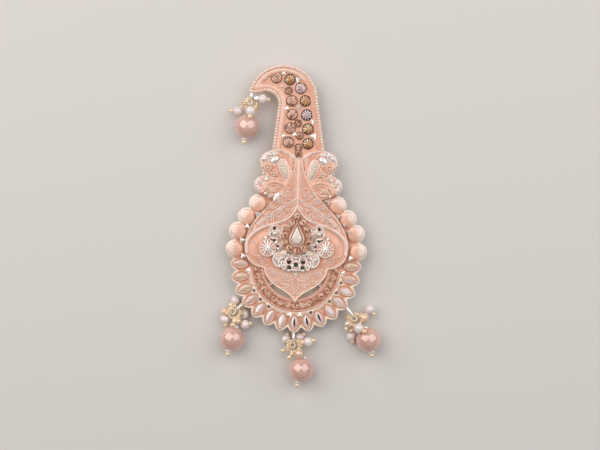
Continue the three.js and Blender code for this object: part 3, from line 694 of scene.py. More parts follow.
clear_tones = [(216, 180, 172), (234, 210, 206), (250, 234, 224), (255, 246, 230), (255, 253, 248)]
clear_crystal = crystal("clear_rainbow_crystal", "opal_crystal", clear_tones, 0.45)
three_sided = stacked(ring((0, 0), 1, 3), [(0.9, -0.4), (1, 0.1), (0.12, 0.28)])


def bright_cuts(name, cuts, top, pattern=three_sided, facets=12, low=0.75, high=1.05):
    """Little clear stones, each (across, up, size), between the larger pieces. Their facets are painted from
    low to high, by default nearly white as painted glints.
    """
    cuts = np.array(cuts)
    set_pieces(
        name, level(cuts[:, :2], top), pattern, clear_crystal, size=cuts[:, 2],
        turn=rng.uniform(0, 2, len(cuts)), sparks=rng.uniform(low, high, (len(cuts), facets)),
    )


PETAL_CUTS = [(-18.8, -13.8, 1.2), (19.1, -13.9, 1.1), (-1.9, -31.2, 1.3), (2.1, -31.1, 1.3)]
bright_cuts("petal_bright_cuts", PETAL_CUTS, 6.5)
DOME_CUTS = [(-16.0, 8.9, 1.4), (-19.9, 3.7, 1.2), (-21.8, -1.9, 1.4), (-21.2, -8.1, 1.3)]
DOME_CUTS += [(16.5, 8.7, 1.2), (18.9, 5.2, 0.9), (20.9, 2.5, 1.0), (21.8, -7.9, 1.2), (12.4, 14.0, 1.0)]
bright_cuts("dome_bright_cuts", DOME_CUTS, 8.1)
cut_places = np.array(DOME_CUTS)
# Each of those stones stands on a thin post from the casting.
collet = stacked(ring((0, 0), 1, 8), [(0.5, -1.2), (0.5, 0.9)])
set_pieces("dome_cut_collets", level(cut_places[:, :2], 7.0), collet, peach_lacquer, size=cut_places[:, 2])

# ---- Domes ----------------------------------------------------------------------------------------------
# Eight pressed lacquered buttons, four down each side, each soldered in its round seat. The outer side is
# chased like a curled shell, where the lacquer is wiped back to a silvery lilac.
dome_lacquer = finish(
    "dome_lacquer", "peach_lacquer", (250, 212, 192), (244, 198, 174), 2.2, 0.28, 0.12, 0.3,
    coat=0.5, ridge=(255, 240, 234), hollow=(248, 172, 136),
)
DOME_RADIUS, DOME_FOOT, DOME_RISE = 3.45, 6.02, 1.15
DOME_ROWS, DOME_SIDES = 22, 48
SWIRL_EYE = 0.28  # from the middle to the middle of the shell's curl, as a share of the radius
dome_shares = np.linspace(1, 0, DOME_ROWS + 1)[:-1]
dome_turns = np.linspace(0, 2 * math.pi, DOME_SIDES, endpoint=False)
share, turn = (grid.ravel() for grid in np.meshgrid(dome_shares, dome_turns, indexing="ij"))
top, last = DOME_ROWS * DOME_SIDES, (DOME_ROWS - 1) * DOME_SIDES
dome_faces = banded(DOME_ROWS, DOME_SIDES)
dome_faces += [(top, last + i, last + (i + 1) % DOME_SIDES) for i in range(DOME_SIDES)]
dome_faces += [(top + 1, (i + 1) % DOME_SIDES, i) for i in range(DOME_SIDES)]
for side, label in ((-1, "left"), (1, "right")):
    for count, (x, y) in enumerate(DOME_PLACES):
        outward = math.atan2(y + 6, side * x)
        from_eye_x, from_eye_y = share * np.cos(turn - outward) - SWIRL_EYE, share * np.sin(turn - outward)
        from_eye, round_eye = np.hypot(from_eye_x, from_eye_y), np.arctan2(from_eye_y, from_eye_x)
        outer = ramp(from_eye_x, -0.45, 0.1)
        shell = np.cos(15 * from_eye - side * round_eye) * outer * (1 - ramp(share, 0.85, 0.95))
        height = DOME_FOOT + DOME_RISE * (1 - share**2.4) ** 0.55 + 0.04 * shell * ramp(from_eye, 0.05, 0.15)
        shine = 0.4 * outer + 0.38 * shell - 0.4 * (1 - outer) * (1 - ramp(share, 0.9, 1.0))
        shine += ramp(share, 0.84, 0.93) * (0.2 + 0.5 * outer)
        across, up = side * x + DOME_RADIUS * share * np.cos(turn), y + DOME_RADIUS * share * np.sin(turn)
        middles = [(side * x, y, DOME_FOOT + DOME_RISE), (side * x, y, DOME_FOOT)]
        points = np.concatenate([np.column_stack([across, up, height]), middles])
        node = f"dome_{label}_{count + 1}"
        piece(node + "_button", points, dome_faces, dome_lacquer, [node], rim=np.append(shine, [0, 0]))

# ---- Crescent of small stones ---------------------------------------------------------------------------
# A channel soldered round the lower petal, with seventeen small round rose crystals set edge to edge in it
# and a grain of metal pushed over them between each two.
CRESCENT_RADIUS, TROUGH_WIDTH = 15.6, 3.0
CHANNEL_UNDER, CHANNEL_FLOOR, CHANNEL_TOP = 5.6, 6.5, 7.1
CRESCENT_INNER, CRESCENT_OUTER = 12.7, CRESCENT_RADIUS + 2
crescent_band = [arc(FAN_CENTRE, CRESCENT_OUTER, -177, -3, 60), arc(FAN_CENTRE, CRESCENT_INNER, -3, -177, 60)]


def channel_surface(places, depth):
    away = np.abs(from_fan(places) - CRESCENT_RADIUS)
    wall = ramp(away, TROUGH_WIDTH / 2, TROUGH_WIDTH / 2 + 0.25)
    lip = swell(away - TROUGH_WIDTH / 2 - 0.3, 0.5)
    # The trough floor under the stones is painted darker, toward the hollow tone, as shade; the lip is
    # lighter.
    return CHANNEL_FLOOR + (CHANNEL_TOP - CHANNEL_FLOOR) * wall + 0.1 * lip, 0.35 * lip - 0.5 * (1 - wall)


relief(
    "crescent_channel", [np.concatenate(crescent_band)], [], channel_surface, peach_lacquer,
    ["crescent_setting"], bottom=CHANNEL_UNDER, step=0.5, rows=(0.2, 0.42, 0.68),
)

# A round stone of radius 1 mm: a table cut in six wedges, a facetted crown, a girdle and a back. Its rows of
# points are the girdle's foot and top, the crown's middle and the table's edge.
TABLE_SIDES, GIRDLE_SIDES, TABLE_HEIGHT = 6, 12, 0.55
cut_rows = [(ring((0, 0), 1, GIRDLE_SIDES), -0.15), (ring((0, 0), 1, GIRDLE_SIDES), 0.05)]
cut_rows += [(turned(ring((0, 0), 0.8, TABLE_SIDES), 30), 0.65 * TABLE_HEIGHT)]
cut_rows += [(ring((0, 0), 0.55, TABLE_SIDES), TABLE_HEIGHT)]
cut_points = [(x, y, z) for row, z in cut_rows for x, y in row] + [(0, 0, TABLE_HEIGHT), (0, 0, -0.5)]
GIRDLE_AT, CUT_CROWN_AT, TABLE_AT, CUT_TOP, CUT_BACK = 12, 24, 30, 36, 37
cut_faces = [(CUT_TOP, TABLE_AT + i, TABLE_AT + (i + 1) % TABLE_SIDES) for i in range(TABLE_SIDES)]
cut_faces += [(TABLE_AT + (i + 1) % TABLE_SIDES, TABLE_AT + i, CUT_CROWN_AT + i) for i in range(TABLE_SIDES)]
for i in range(TABLE_SIDES):
    left, mid, right = (GIRDLE_AT + (2 * i + step) % GIRDLE_SIDES for step in range(3))
    here, following = CUT_CROWN_AT + i, (i + 1) % TABLE_SIDES
    cut_faces += [(left, mid, here), (mid, right, here)]
    cut_faces += [(right, CUT_CROWN_AT + following, TABLE_AT + following, here)]
cut_faces += banded(2, GIRDLE_SIDES)
cut_faces += [(CUT_BACK, (i + 1) % GIRDLE_SIDES, i) for i in range(GIRDLE_SIDES)]
round_cut = (cut_points, cut_faces, [0.0] * len(cut_points))

rose_tones = [(84, 42, 30), (170, 112, 88), (224, 170, 142), (242, 202, 176), (255, 238, 224)]
rose_crystal = crystal("rose_champagne_crystal", "champagne_crystal", rose_tones, 0.15)


def round_gems(name, places, seat, size, painted_dark, low, high):
    """Round rose crystals. Their facet tones are drawn from low to high, and a share of the table is painted
    dark as reflections.
    """
    n, wedges = len(places), 2 * TABLE_SIDES
    turn = rng.uniform(0, 1, n)
    tones = rng.uniform(low, high, (n, len(cut_faces)))
    in_shade = rng.random((n, wedges)) < painted_dark
    tones[:, :wedges] = np.where(in_shade, rng.uniform(0, 0.2, (n, wedges)), tones[:, :wedges])
    set_pieces(name, level(places, seat), round_cut, rose_crystal, size=size, turn=turn, sparks=tones)


rng = np.random.default_rng(11)
CRESCENT_STONES, CRESCENT_SEAT = 17, 6.75
crescent_turns = np.linspace(-175.5, -4.5, CRESCENT_STONES)
crescent_places = [at_turn(FAN_CENTRE, CRESCENT_RADIUS, turn) for turn in crescent_turns]
round_gems("crescent_gems", crescent_places, CRESCENT_SEAT, 1.56, 0.2, 0.3, 0.85)


def grains(name, places, radius, look):
    """Little rounded beads of metal raised at 3D places."""
    bead = stacked(ring((0, 0), 1, 7), [(1, -0.8), (1, 0), (0.7, 0.7)])
    set_pieces(name, places, bead, look, size=radius, smooth=True)


bare_silver = finish(
    "bare_silver_plate", "silver_plate", (246, 236, 232), (226, 212, 208), 1.5, 0.2, 0.75, 0.2,
    hollow=(120, 96, 84),
)
rose_plate = finish("rose_plate", "peach_lacquer", (236, 190, 168), (214, 160, 138), 1.5, 0.25, 0.6, 0.25)
between = (crescent_turns[1:] + crescent_turns[:-1]) / 2
pushed = [at_turn(FAN_CENTRE, CRESCENT_RADIUS + side * 1.25, turn) for turn in between for side in (1, -1)]
grains("crescent_grains", level(pushed, CHANNEL_TOP), 0.36, rose_plate)
grains("crescent_border", level(arc(FAN_CENTRE, 13.4, -172, -8, 46), CHANNEL_TOP), 0.3, bare_silver)

# ---- Plume ----------------------------------------------------------------------------------------------
# The hooked plume is a separate casting: a rim with a row of round milgrain beads along its edge, a smooth
# ridge inside them, and a sunk bed that carries eleven large round crystals and a few small ones.
CROWN, CROWN_RADIUS = (-7, 54.8), 13.98
THROAT, THROAT_RADIUS = (-13.9, 52.8), 5
plume_outline = [[(-10.8, 35.1), (0, 32.0), (10.1, 35.1)], arc(CROWN, CROWN_RADIUS, 0, 170, 60)]
plume_outline = np.concatenate([*plume_outline, arc(THROAT, THROAT_RADIUS, 118, 0, 30)])
plume_edge = np.roll(plume_outline, -2, axis=0)[:-1]
BED, SHELF, RIDGE_TOP = 5.95, 6.15, 6.6


def plume_surface(places, depth):
    side = from_line(places, plume_edge)
    ridge = swell(side - 2.25, 2.3)
    shelf = 1 - ramp(side, 1.0, 1.3)
    bed = ramp(side, 3.0, 3.4)
    height = SHELF - (SHELF - BED) * bed + (RIDGE_TOP - SHELF) * ridge
    golden = ramp(places[:, 0], 0, 4) * ramp(side, 1.2, 1.6) * (1 - ramp(side, 3.0, 3.3))
    # The creases at the foot of the ridge, each side, are painted darker as shade.
    shaded_crease = (1 - ramp(np.abs(side - 3.3), 0.05, 0.4)) * 0.4
    shaded_crease += (1 - ramp(np.abs(side - 1.15), 0.05, 0.3)) * 0.4
    return height, 0.6 * shelf + 0.45 * ridge**3 * (1 - golden) - 0.2 * golden - 0.4 * shaded_crease + 0.1 * bed


relief(
    "plume_casting", [plume_outline], [], plume_surface, peach_lacquer, ["plume"],
    bottom=BASE_UNDER, step=0.36,
)

# The tree that threads round beads at an even pitch along a line.
bead_inputs = {"Bead Radius": "Float", "Pitch": "Float", "Finish": "Material"}
bead_tree, source, sink = node_tree("milgrain", bead_inputs)
to_curve = bead_tree.nodes.new("GeometryNodeMeshToCurve")
spaced = added(bead_tree, "GeometryNodeResampleCurve", {}, mode="LENGTH")
bead = added(bead_tree, "GeometryNodeMeshUVSphere", {"Segments": 9, "Rings": 6})
threaded = bead_tree.nodes.new("GeometryNodeInstanceOnPoints")
rounded = bead_tree.nodes.new("GeometryNodeSetShadeSmooth")
joined(
    bead_tree,
    (source, "Geometry", to_curve, "Mesh"),
    (to_curve, "Curve", spaced, "Curve"),
    (source, "Pitch", spaced, "Length"),
    (source, "Bead Radius", bead, "Radius"),
    (spaced, "Curve", threaded, "Points"),
    (bead, "Mesh", rounded, "Geometry"),
    (rounded, "Geometry", threaded, "Instance"),
)
ended(bead_tree, source, threaded, "Instances", sink)

BEAD_INSET, BEAD_RADIUS, BEAD_PITCH, BEAD_HEIGHT = 0.72, 0.72, 1.2, 6.3
bead_line = [[(10.1 - BEAD_INSET, 35.6)], arc(CROWN, CROWN_RADIUS - BEAD_INSET, 0, 168, 60)]
bead_line += [arc(THROAT, THROAT_RADIUS + BEAD_INSET, 118, 0, 30), [(-10.8 + BEAD_INSET, 35.8)]]
bead_line = level(np.concatenate(bead_line), BEAD_HEIGHT)
bead_edges = [(i, i + 1) for i in range(len(bead_line) - 1)]
bead_settings = {"Bead Radius": BEAD_RADIUS * MM, "Pitch": BEAD_PITCH * MM}
milgrain_plate = finish(
    "milgrain_plate", "silver_plate", (252, 232, 218), (246, 214, 198), 1.2, 0.35, 0.1, 0.2, coat=0.4
)
grown("plume_milgrain", bead_line, bead_edges, bead_tree, bead_settings, milgrain_plate)

ROSE_STONES = [(-9.9, 63.5), (-3.5, 54.4), (-3.2, 48.9), (-3.9, 43.5), (-4.4, 37.8)]
SPOKED_STONES = [(-4.5, 62.9), (1.9, 54.5), (3.2, 43.3), (3.4, 37.4)]
VIOLET_STONES = [(-0.1, 59.5), (2.6, 48.9)]
LARGE_STONE, STONE_SEAT = 2.1, 6.2
SPOKES = 40  # wedges round a large stone, which lie in an outer band, an inner band and a hub
CROWN_AT, OUTER_AT, INNER_AT, HUB_AT = 2 * SPOKES, 3 * SPOKES, 4 * SPOKES, 6 * SPOKES
large_rows = [(0.8, -0.4), (1, 0), (1, 0.08), (0.88, 0.3), (0.6, 0.36), (0.24, 0.4)]
large_cut = stacked(ring((0, 0), 1, SPOKES), large_rows)
golden_tones = [(52, 24, 12), (134, 74, 40), (214, 146, 92), (238, 192, 142), (254, 240, 220)]
golden_crystal = crystal("golden_champagne_crystal", "champagne_crystal", golden_tones, 0.1)
pale_tones = [(62, 30, 22), (160, 104, 86), (218, 162, 138), (236, 192, 170), (252, 230, 216)]
pale_crystal = crystal("pale_pink_crystal", "champagne_crystal", pale_tones, 0.1)
violet_tones = [(34, 22, 36), (112, 80, 90), (190, 150, 150), (224, 196, 196), (252, 240, 240)]
violet_crystal = crystal("violet_grey_crystal", "champagne_crystal", violet_tones, 0.1)


def spoked(stones, light, hub):
    """Facet sparks with ten dark spokes between pairs of light wedges, and a small light hub, painted as
    reflections of the stone's back facets.
    """
    sparks = rng.uniform(*light, (stones, len(large_cut[1])))
    for wheel in sparks:
        pairs = np.repeat(rng.uniform(*light, SPOKES // 4), 4)
        part = np.arange(SPOKES) % 4
        wheel[CROWN_AT:OUTER_AT] = np.where(part == 2, pairs - 0.3, 0.0)
        wheel[OUTER_AT:INNER_AT] = np.where(part < 2, -0.1, pairs)
        shaded_wedge = (part == 0) & (rng.random(SPOKES) < 0.7)
        wheel[INNER_AT : INNER_AT + SPOKES] = np.where(shaded_wedge, 0.0, pairs - 0.15)
        wheel[HUB_AT:] = rng.uniform(*hub)
    return sparks


def flecked(stones, low, high, flecks):
    """Facet sparks of a clear stone, light but for a few dark flecks two wedges wide, painted as reflections.
    """
    sparks = rng.uniform(low, high, (stones, len(large_cut[1])))
    for wheel in sparks:
        for first, share in ((CROWN_AT, 0.3), (OUTER_AT, flecks), (INNER_AT, flecks), (HUB_AT, 0.25)):
            pair = np.repeat(rng.random(SPOKES // 4) < share, 4) & (np.arange(SPOKES) % 4 > 0)
            wheel[first : first + SPOKES] = np.where(pair, rng.uniform(0, 0.2), wheel[first : first + SPOKES])
    return sparks


def large_stones(name, places, look, numbers, sparks):
    nodes = [f"plume_stone_{number}" for number in numbers]
    turn = rng.uniform(0, 0.4, len(places))
    seats = level(places, STONE_SEAT)
    set_pieces(name, seats, large_cut, look, nodes, size=LARGE_STONE, turn=turn, sparks=sparks)


rng = np.random.default_rng(23)
large_stones("plume_gems_pale", ROSE_STONES, pale_crystal, (1, 4, 6, 8, 10), flecked(5, 0.4, 0.62, 0.28))
spokes = spoked(4, (0.45, 0.95), (0.5, 0.7))
large_stones("plume_gems_golden", SPOKED_STONES, golden_crystal, (2, 5, 9, 11), spokes)
violet_sparks = spoked(2, (0.7, 1.0), (0.6, 0.7))
violet_sparks[0] = flecked(1, 0.5, 0.75, 0.12)[0]
large_stones("plume_gems_violet", VIOLET_STONES, violet_crystal, (3, 7), violet_sparks)

SMALL_STONES = [(-4.9, 58.4), (-0.8, 45.4), (0, 40.5), (-0.4, 35.8), (-0.3, 33.6)]
small_sizes = np.array([1.4, 1.35, 1.4, 1.35, 1.15])
round_gems("plume_small_gems", SMALL_STONES, 6.1, small_sizes, 0.35, 0.25, 0.75)
# Each plume stone sits in a setting ring whose dark brown is painted shade round the stone; its outer edge is
# pale.
ring_shade_brown = finish(
    "ring_shade_brown_plate", "gold_plate", (128, 80, 60), (98, 58, 42), 0.8, 0.3, 0.3, 0.2,
    ridge=(250, 220, 200),
)
RING_REACH, RING_TOP = 2.42, 6.3  # a large stone's ring; the others are the same ring made smaller
ring_section = [(-0.2, 5.8, 1), (-0.05, 6.25, 1), (0.06, 6.35, 0.6)]
ring_section += [(0.1, 6.36, 0), (0.36, 6.36, 0), (0.4, 5.7, 0)]
ringed = ROSE_STONES + SPOKED_STONES + VIOLET_STONES + SMALL_STONES
reaches = np.array([RING_REACH] * 11 + [size + 0.3 for size in small_sizes])
ring_places = level(ringed, RING_TOP - RING_TOP * reaches / RING_REACH)
ring_sizes = reaches / RING_REACH
stone_ring = collar(ring((0, 0), RING_REACH, 28), ring_section)
set_pieces("plume_stone_rings", ring_places, stone_ring, ring_shade_brown, size=ring_sizes, smooth=True)
PLUME_CUTS = [(-1.2, 62.9, 1.4), (5.4, 46.3, 1.5), (5.6, 40.3, 1.7), (-2.0, 40.9, 1.1), (-6.4, 40.3, 1.0)]
PLUME_CUTS += [(-7.1, 65.3, 1.0), (-0.8, 51.8, 1.3), (-5.4, 51.3, 1.0)]
bright_cuts("plume_bright_cuts", PLUME_CUTS, 6.4)
tiny_sparks = rng.uniform(0.6, 1.0, (1, len(cut_faces)))
tiny_look = (violet_crystal[0], "opal_crystal")
set_pieces("plume_tiny_gem", [(-14.1, 63.3, 6.1)], round_cut, tiny_look, size=0.85, sparks=tiny_sparks)
grains("plume_pearl", [(-7.6, 60.1, 6.2)], 0.75, milgrain_plate)

# ---- Shoulders ------------------------------------------------------------------------------------------
# A cast scrolled piece each side of the neck: two round lobes edged by fluted shells of pale enamel, thick
# orange-peach scrolls with rosettes, and a milky silver-green enamelled paisley by the stem. They mirror.

# The tree that draws round wire along lines, its thickness from the points.
wire_inputs = {"Wire Radius": "Float", "Sides": "Int", "Finish": "Material"}
wire_tree, source, sink = node_tree("drawn_wire", wire_inputs)
to_curve = wire_tree.nodes.new("GeometryNodeMeshToCurve")
gauged = wire_tree.nodes.new("GeometryNodeSetCurveRadius")
section = wire_tree.nodes.new("GeometryNodeCurvePrimitiveCircle")
swept = added(wire_tree, "GeometryNodeCurveToMesh", {"Fill Caps": True})
rounded = wire_tree.nodes.new("GeometryNodeSetShadeSmooth")
joined(
    wire_tree,
    (source, "Geometry", to_curve, "Mesh"),
    (to_curve, "Curve", gauged, "Curve"),
    (named(wire_tree, "gauge"), "Attribute", gauged, "Radius"),
    (source, "Wire Radius", section, "Radius"),
    (source, "Sides", section, "Resolution"),
    (gauged, "Curve", swept, "Curve"),
    (section, "Curve", swept, "Profile Curve"),
    (swept, "Mesh", rounded, "Geometry"),
)
ended(wire_tree, source, rounded, "Geometry", sink)


def wires(name, lines, radius, look, rim=0.0, taper=0.0, closed=False, sides=6):
    """Round wire along 3D lines, thinner towards the end by the taper's share."""
    edges, gauge, first = [], [], 0
    for line in lines:
        n = len(line)
        edges += [(first + i, first + (i + 1) % n) for i in range(n if closed else n - 1)]
        gauge.append(1 - taper * np.linspace(0, 1, n) ** 1.5)
        first += n
    settings = {"Wire Radius": radius * MM, "Sides": sides}
    grown(name, np.concatenate(lines), edges, wire_tree, settings, look, gauge=np.concatenate(gauge), rim=rim)


def smoothed(*points, count=8):
    """A smooth line through points."""
    p = np.asarray(points, float)
    p = np.concatenate([[2 * p[0] - p[1]], p, [2 * p[-1] - p[-2]]])
    line = [p[1]]
    for a, b, c, d in zip(p, p[1:], p[2:], p[3:]):
        square, cube = 2 * a - 5 * b + 4 * c - d, 3 * b - a - 3 * c + d
        for t in np.linspace(0, 1, count + 1)[1:]:
            line.append(0.5 * (2 * b + (c - a) * t + square * t**2 + cube * t**3))
    return np.array(line)


def scroll(centre, radius, start, turns, hand, *lead):
    """A spiral line wound inwards to its centre, after a smooth lead through any points."""
    t = np.linspace(0, 1, 30)
    turn = np.radians(start + hand * 360 * turns * t)
    reach = radius + (max(0.15 * radius, 0.3) - radius) * t
    line = np.column_stack([centre[0] + reach * np.cos(turn), centre[1] + reach * np.sin(turn)])
    return np.concatenate([smoothed(*lead), line]) if lead else line


def on_both_sides(lines):
    return [*lines, *[line * (-1, 1) for line in lines]]


def laid(lines, top, lift):
    """Flat lines laid on a plate's face, their heights evened out and a hair apart where they cross."""
    done = []
    for count, line in enumerate(lines):
        heights = np.convolve(np.pad(top(line), 2, "edge"), np.ones(5) / 5, "valid")
        done.append(level(line, heights + lift + 0.013 * (count % 7)))
    return done


SHOULDER_UNDER, SHOULDER_FACE = 5.9, 7.0
LOBES = [((10.9, 29.5), 4.7), ((14.1, 20.4), 3.6)]
neck = path((3.6, 33.6), (1.5, 32.2), (1.0, 31.0), [(1.2, 26.2), (3.0, 20.2), (8.6, 14.4)], (11.4, 15.8))
shoulder_half = [neck, arc(*LOBES[1], -78, 72, 24), [(13.4, 24.9)], arc(*LOBES[0], -40, 78, 24)]
shoulder_half = np.concatenate([*shoulder_half, [(9.6, 35.2)]])
upper_curl = smoothed((4.6, 19.8), (6.7, 21.2), (9.4, 21.9), (12.0, 20.9), (13.9, 18.8), (14.2, 16.6))
stem_curl = smoothed((3.3, 31.0), (2.9, 27.8), (3.2, 24.8), (4.6, 21.8))
stem_groove = smoothed((2.0, 28.0), (2.4, 25.0), (3.4, 22.2), (5.0, 19.8))


def around(x, y, centre):
    """How far places lie from a centre, and at what turn."""
    return np.hypot(x - centre[0], y - centre[1]), np.arctan2(y - centre[1], x - centre[0])


def shoulder_surface(places, depth):
    x, y = np.abs(places[:, 0]), places[:, 1]
    flipped = np.column_stack([x, y])
    height = SHOULDER_FACE + 0.35 * ramp(depth, 0, 0.5)
    shine = 0.75 * (1 - ramp(depth, 0.25, 0.6)) + 0.12
    for centre, radius in LOBES:
        away, turn = around(x, y, centre)
        outer = ramp(away, radius - 2.1, radius - 1.7) * (np.abs(turn - 0.5) < 1.5) * ramp(depth, 0, 0.3)
        height += 0.15 * outer
        shine = np.maximum(shine, 0.5 * outer)
    for curl, width, rise in ((upper_curl, 2.2, 0.7), (stem_curl, 1.1, 0.3)):
        ridge = swell(from_line(flipped, curl), width)
        height += rise * ridge
        shine = np.where(ridge > 0, 0.45 * ridge**4, shine)
    # The groove beside the stem dips and is painted darker as shade.
    painted_dark = 1 - ramp(from_line(flipped, stem_groove), 0.1, 0.4)
    height -= 0.25 * painted_dark
    return height, np.clip(shine - 0.6 * painted_dark, -1, 1)


milky_green = finish(
    "milky_green_enamel", "silver_plate", (246, 216, 198), (232, 210, 192), 1.6, 0.2, 0.1, 0.3,
    coat=0.6, ridge=(254, 242, 234), hollow=(178, 134, 110),
)
rainbow_enamel = finish(
    "rainbow_shell_enamel", "silver_plate", (254, 230, 212), (222, 204, 212), 1.0, 0.2, 0.1, 0.3,
    coat=0.8, ridge=(255, 250, 244), hollow=(222, 172, 152), coat_ior=1.7,
)
orange_lacquer = finish(
    "orange_peach_lacquer", "peach_lacquer", (246, 176, 145), (238, 157, 127), 2.0, 0.28, 0.15, 0.3,
    coat=0.5, ridge=(250, 228, 210), hollow=(206, 120, 92),
)
paisley = [(4.6, 29.6), (5.4, 30.8), (6.6, 31.1), (7.8, 30.5), (8.2, 29.0), (7.9, 27.0), (6.7, 24.5)]
paisley += [(4.8, 22.2), (4.2, 22.6), (3.7, 24.8), (3.8, 27.3), (4.6, 29.6)]
paisley = smoothed(*paisley, count=4)[:-1][::-1]


def paisley_surface(places, depth):
    x, y = np.abs(places[:, 0]), places[:, 1]
    leaning = np.abs(x - 4.3 - (y - 22) * 0.25)
    feathers = np.cos((y + 0.9 * leaning) * 5.2) * (1 - ramp(y, 26.6, 27.2))
    away, turn = around(x, y, (6.4, 29.0))
    curl = np.cos(away * 6.6 - turn) * ramp(y, 26.8, 27.4)
    chased = (0.7 * feathers + curl) * ramp(depth, 0.2, 0.5)
    height = 7.45 + 0.75 * ramp(depth, 0, 1.3) + 0.08 * chased
    return height, 0.8 * (1 - ramp(depth, 0.15, 0.4)) + 0.55 * chased


# A shell of pale rainbow enamel goes round the outer side of each lobe, each (from, to, width).
SHELLS = [(4, 122, 2.2), (-68, 66, 1.7)]
SHELL_INSET = 0.3


def shell_surface(places, depth):
    x, y = np.abs(places[:, 0]), places[:, 1]
    centre, radius = LOBES[0] if y.mean() > 25 else LOBES[1]
    away, turn = around(x, y, centre)
    flutes = np.cos(turn * 50 / radius + 1.5 * away)
    height = 7.65 + 0.5 * ramp(depth, 0, 0.8) + 0.07 * flutes * ramp(depth, 0.15, 0.4)
    return height, 0.7 * (1 - ramp(depth, 0.1, 0.3)) + 0.6 * flutes * ramp(depth, 0.15, 0.4)


shells = []
for (centre, radius), (low, high, width) in zip(LOBES, SHELLS):
    outer = arc(centre, radius - SHELL_INSET, low, high, 30)
    shells.append(np.concatenate([outer, arc(centre, radius - SHELL_INSET - width, high - 8, low + 8, 20)]))

bands = [upper_curl + (0, 1.35), upper_curl[4:-8] + (0.1, -1.2), scroll((10.8, 18.6), 1.5, 80, 1.3, -1)]
bands += [smoothed((8.8, 24.2), (11.2, 23.9), (13.4, 24.3))]
bands += [smoothed((8.6, 27.8), (8.9, 26.0), (7.8, 23.8), (6.2, 22.3))]
curls = [scroll((11.6, 30.6), 1.1, 200, 1.4, -1, (8.2, 28.2), (8.8, 29.4), (9.8, 30.0))]
curls += [smoothed((14.6, 26.4), (13.4, 25.4), (11.4, 23.4))]
curls += [smoothed((10.0, 32.6), (8.4, 32.9), (7.0, 32.4))]
curls += [scroll((14.3, 21.3), 0.9, 250, 1.3, 1, (11.2, 23.2), (12.4, 22.9), (13.4, 21.6))]
curls += [smoothed((6.6, 17.9), (8.6, 17.0), (10.0, 16.4), (12.2, 16.9))]
curls += [smoothed((7.4, 19.6), (9.0, 19.4), (9.6, 18.4))]
circles = [ring((12.4, 27.3), 1.25, 16), ring((9.7, 25.3), 1.15, 16), ring((10.8, 18.6), 1.0, 14)]
ROSETTE_GRAINS = [(12.4, 27.3, 7.7), (9.7, 25.3, 7.7), (10.8, 18.6, 7.8)]
garland = smoothed((8.6, 34.3), (6.4, 33.9), (4.4, 32.9), (3.0, 31.6), (2.2, 30.0), count=3)
# Little cast leaves between the scrolls, each (across, up, turn in degrees, size).
SHOULDER_LEAVES = [
    (9.6, 28.4, 30, 1.0), (10.8, 28.9, -30, 0.8), (14.4, 28.0, -10, 0.9), (13.9, 25.7, 50, 0.9),
    (11.6, 25.4, -60, 1.0), (10.4, 23.5, 80, 0.9), (8.5, 22.9, 60, 0.8), (12.8, 23.6, 70, 0.9),
    (7.4, 31.9, 60, 0.8), (3.1, 29.6, 0, 0.8), (2.7, 26.0, 5, 0.8), (3.4, 22.6, 20, 0.8),
    (9.2, 18.0, 70, 0.9), (12.3, 18.0, -40, 1.0), (8.4, 20.4, 80, 0.8), (12.9, 19.7, 20, 0.8),
    (6.3, 18.8, -60, 0.9), (10.5, 16.9, 90, 0.8), (11.6, 20.0, 50, 0.7), (15.0, 19.0, 0, 0.9),
]
cast_leaf = stacked(marquise(1.9, 0.85, 4), [(0.9, -0.4), (1, 0), (0.5, 0.25)])
ENAMEL_PLATE = {"bottom": SHOULDER_FACE, "step": 0.25, "rows": (0.12, 0.3)}
for side, label in ((-1, "left"), (1, "right")):
    across = np.array([side, 1])
    node = f"shoulder_{label}"
    outlines = [shoulder_half, paisley, *shells]
    half, leaf, *shell_pair = outlines if side > 0 else [mirrored(line) for line in outlines]
    top = relief(
        node + "_casting", [half], [], shoulder_surface, orange_lacquer, [node], bottom=SHOULDER_UNDER
    )
    relief(node + "_paisley", [leaf], [], paisley_surface, milky_green, **ENAMEL_PLATE)
    for count, shell in enumerate(shell_pair):
        relief(f"{node}_shell_{count + 1}", [shell], [], shell_surface, rainbow_enamel, **ENAMEL_PLATE)
    wires(node + "_lines", laid([band * across for band in bands], top, 0.12), 0.26, orange_lacquer, rim=0.75)
    curl_lines = laid([curl * across for curl in curls], top, 0.12)
    wires(node + "_curls", curl_lines, 0.24, milky_green, rim=0.6, taper=0.3)
    leaves = np.array(SHOULDER_LEAVES)
    places, turn, size = leaves[:, :2] * across, np.radians(side * leaves[:, 2]), leaves[:, 3]
    places = level(places, top(places) + 0.1)
    set_pieces(node + "_leaves", places, cast_leaf, milgrain_plate, size=size, turn=turn, smooth=True)
    rosettes = [level(circle * across, top(circle * across) + 0.3) for circle in circles]
    wires(node + "_rosettes", rosettes, 0.45, orange_lacquer, rim=0.4, closed=True)
    grains(node + "_grains", [(side * x, y, z) for x, y, z in ROSETTE_GRAINS], 0.78, milky_green)
    grains(node + "_garland", level(garland * across, 7.35), 0.42, bare_silver)
    slim = stacked(turned(marquise(3.4, 2.1, 5), 55 * side), [(0.9, -0.3), (1, 0.6), (0.15, 0.95)])
    sparks = rng.uniform(0.9, 1.1, (1, 40))
    set_pieces(node + "_gem", [(9.6 * side, 30.6, 7.5)], slim, clear_crystal, sparks=sparks)

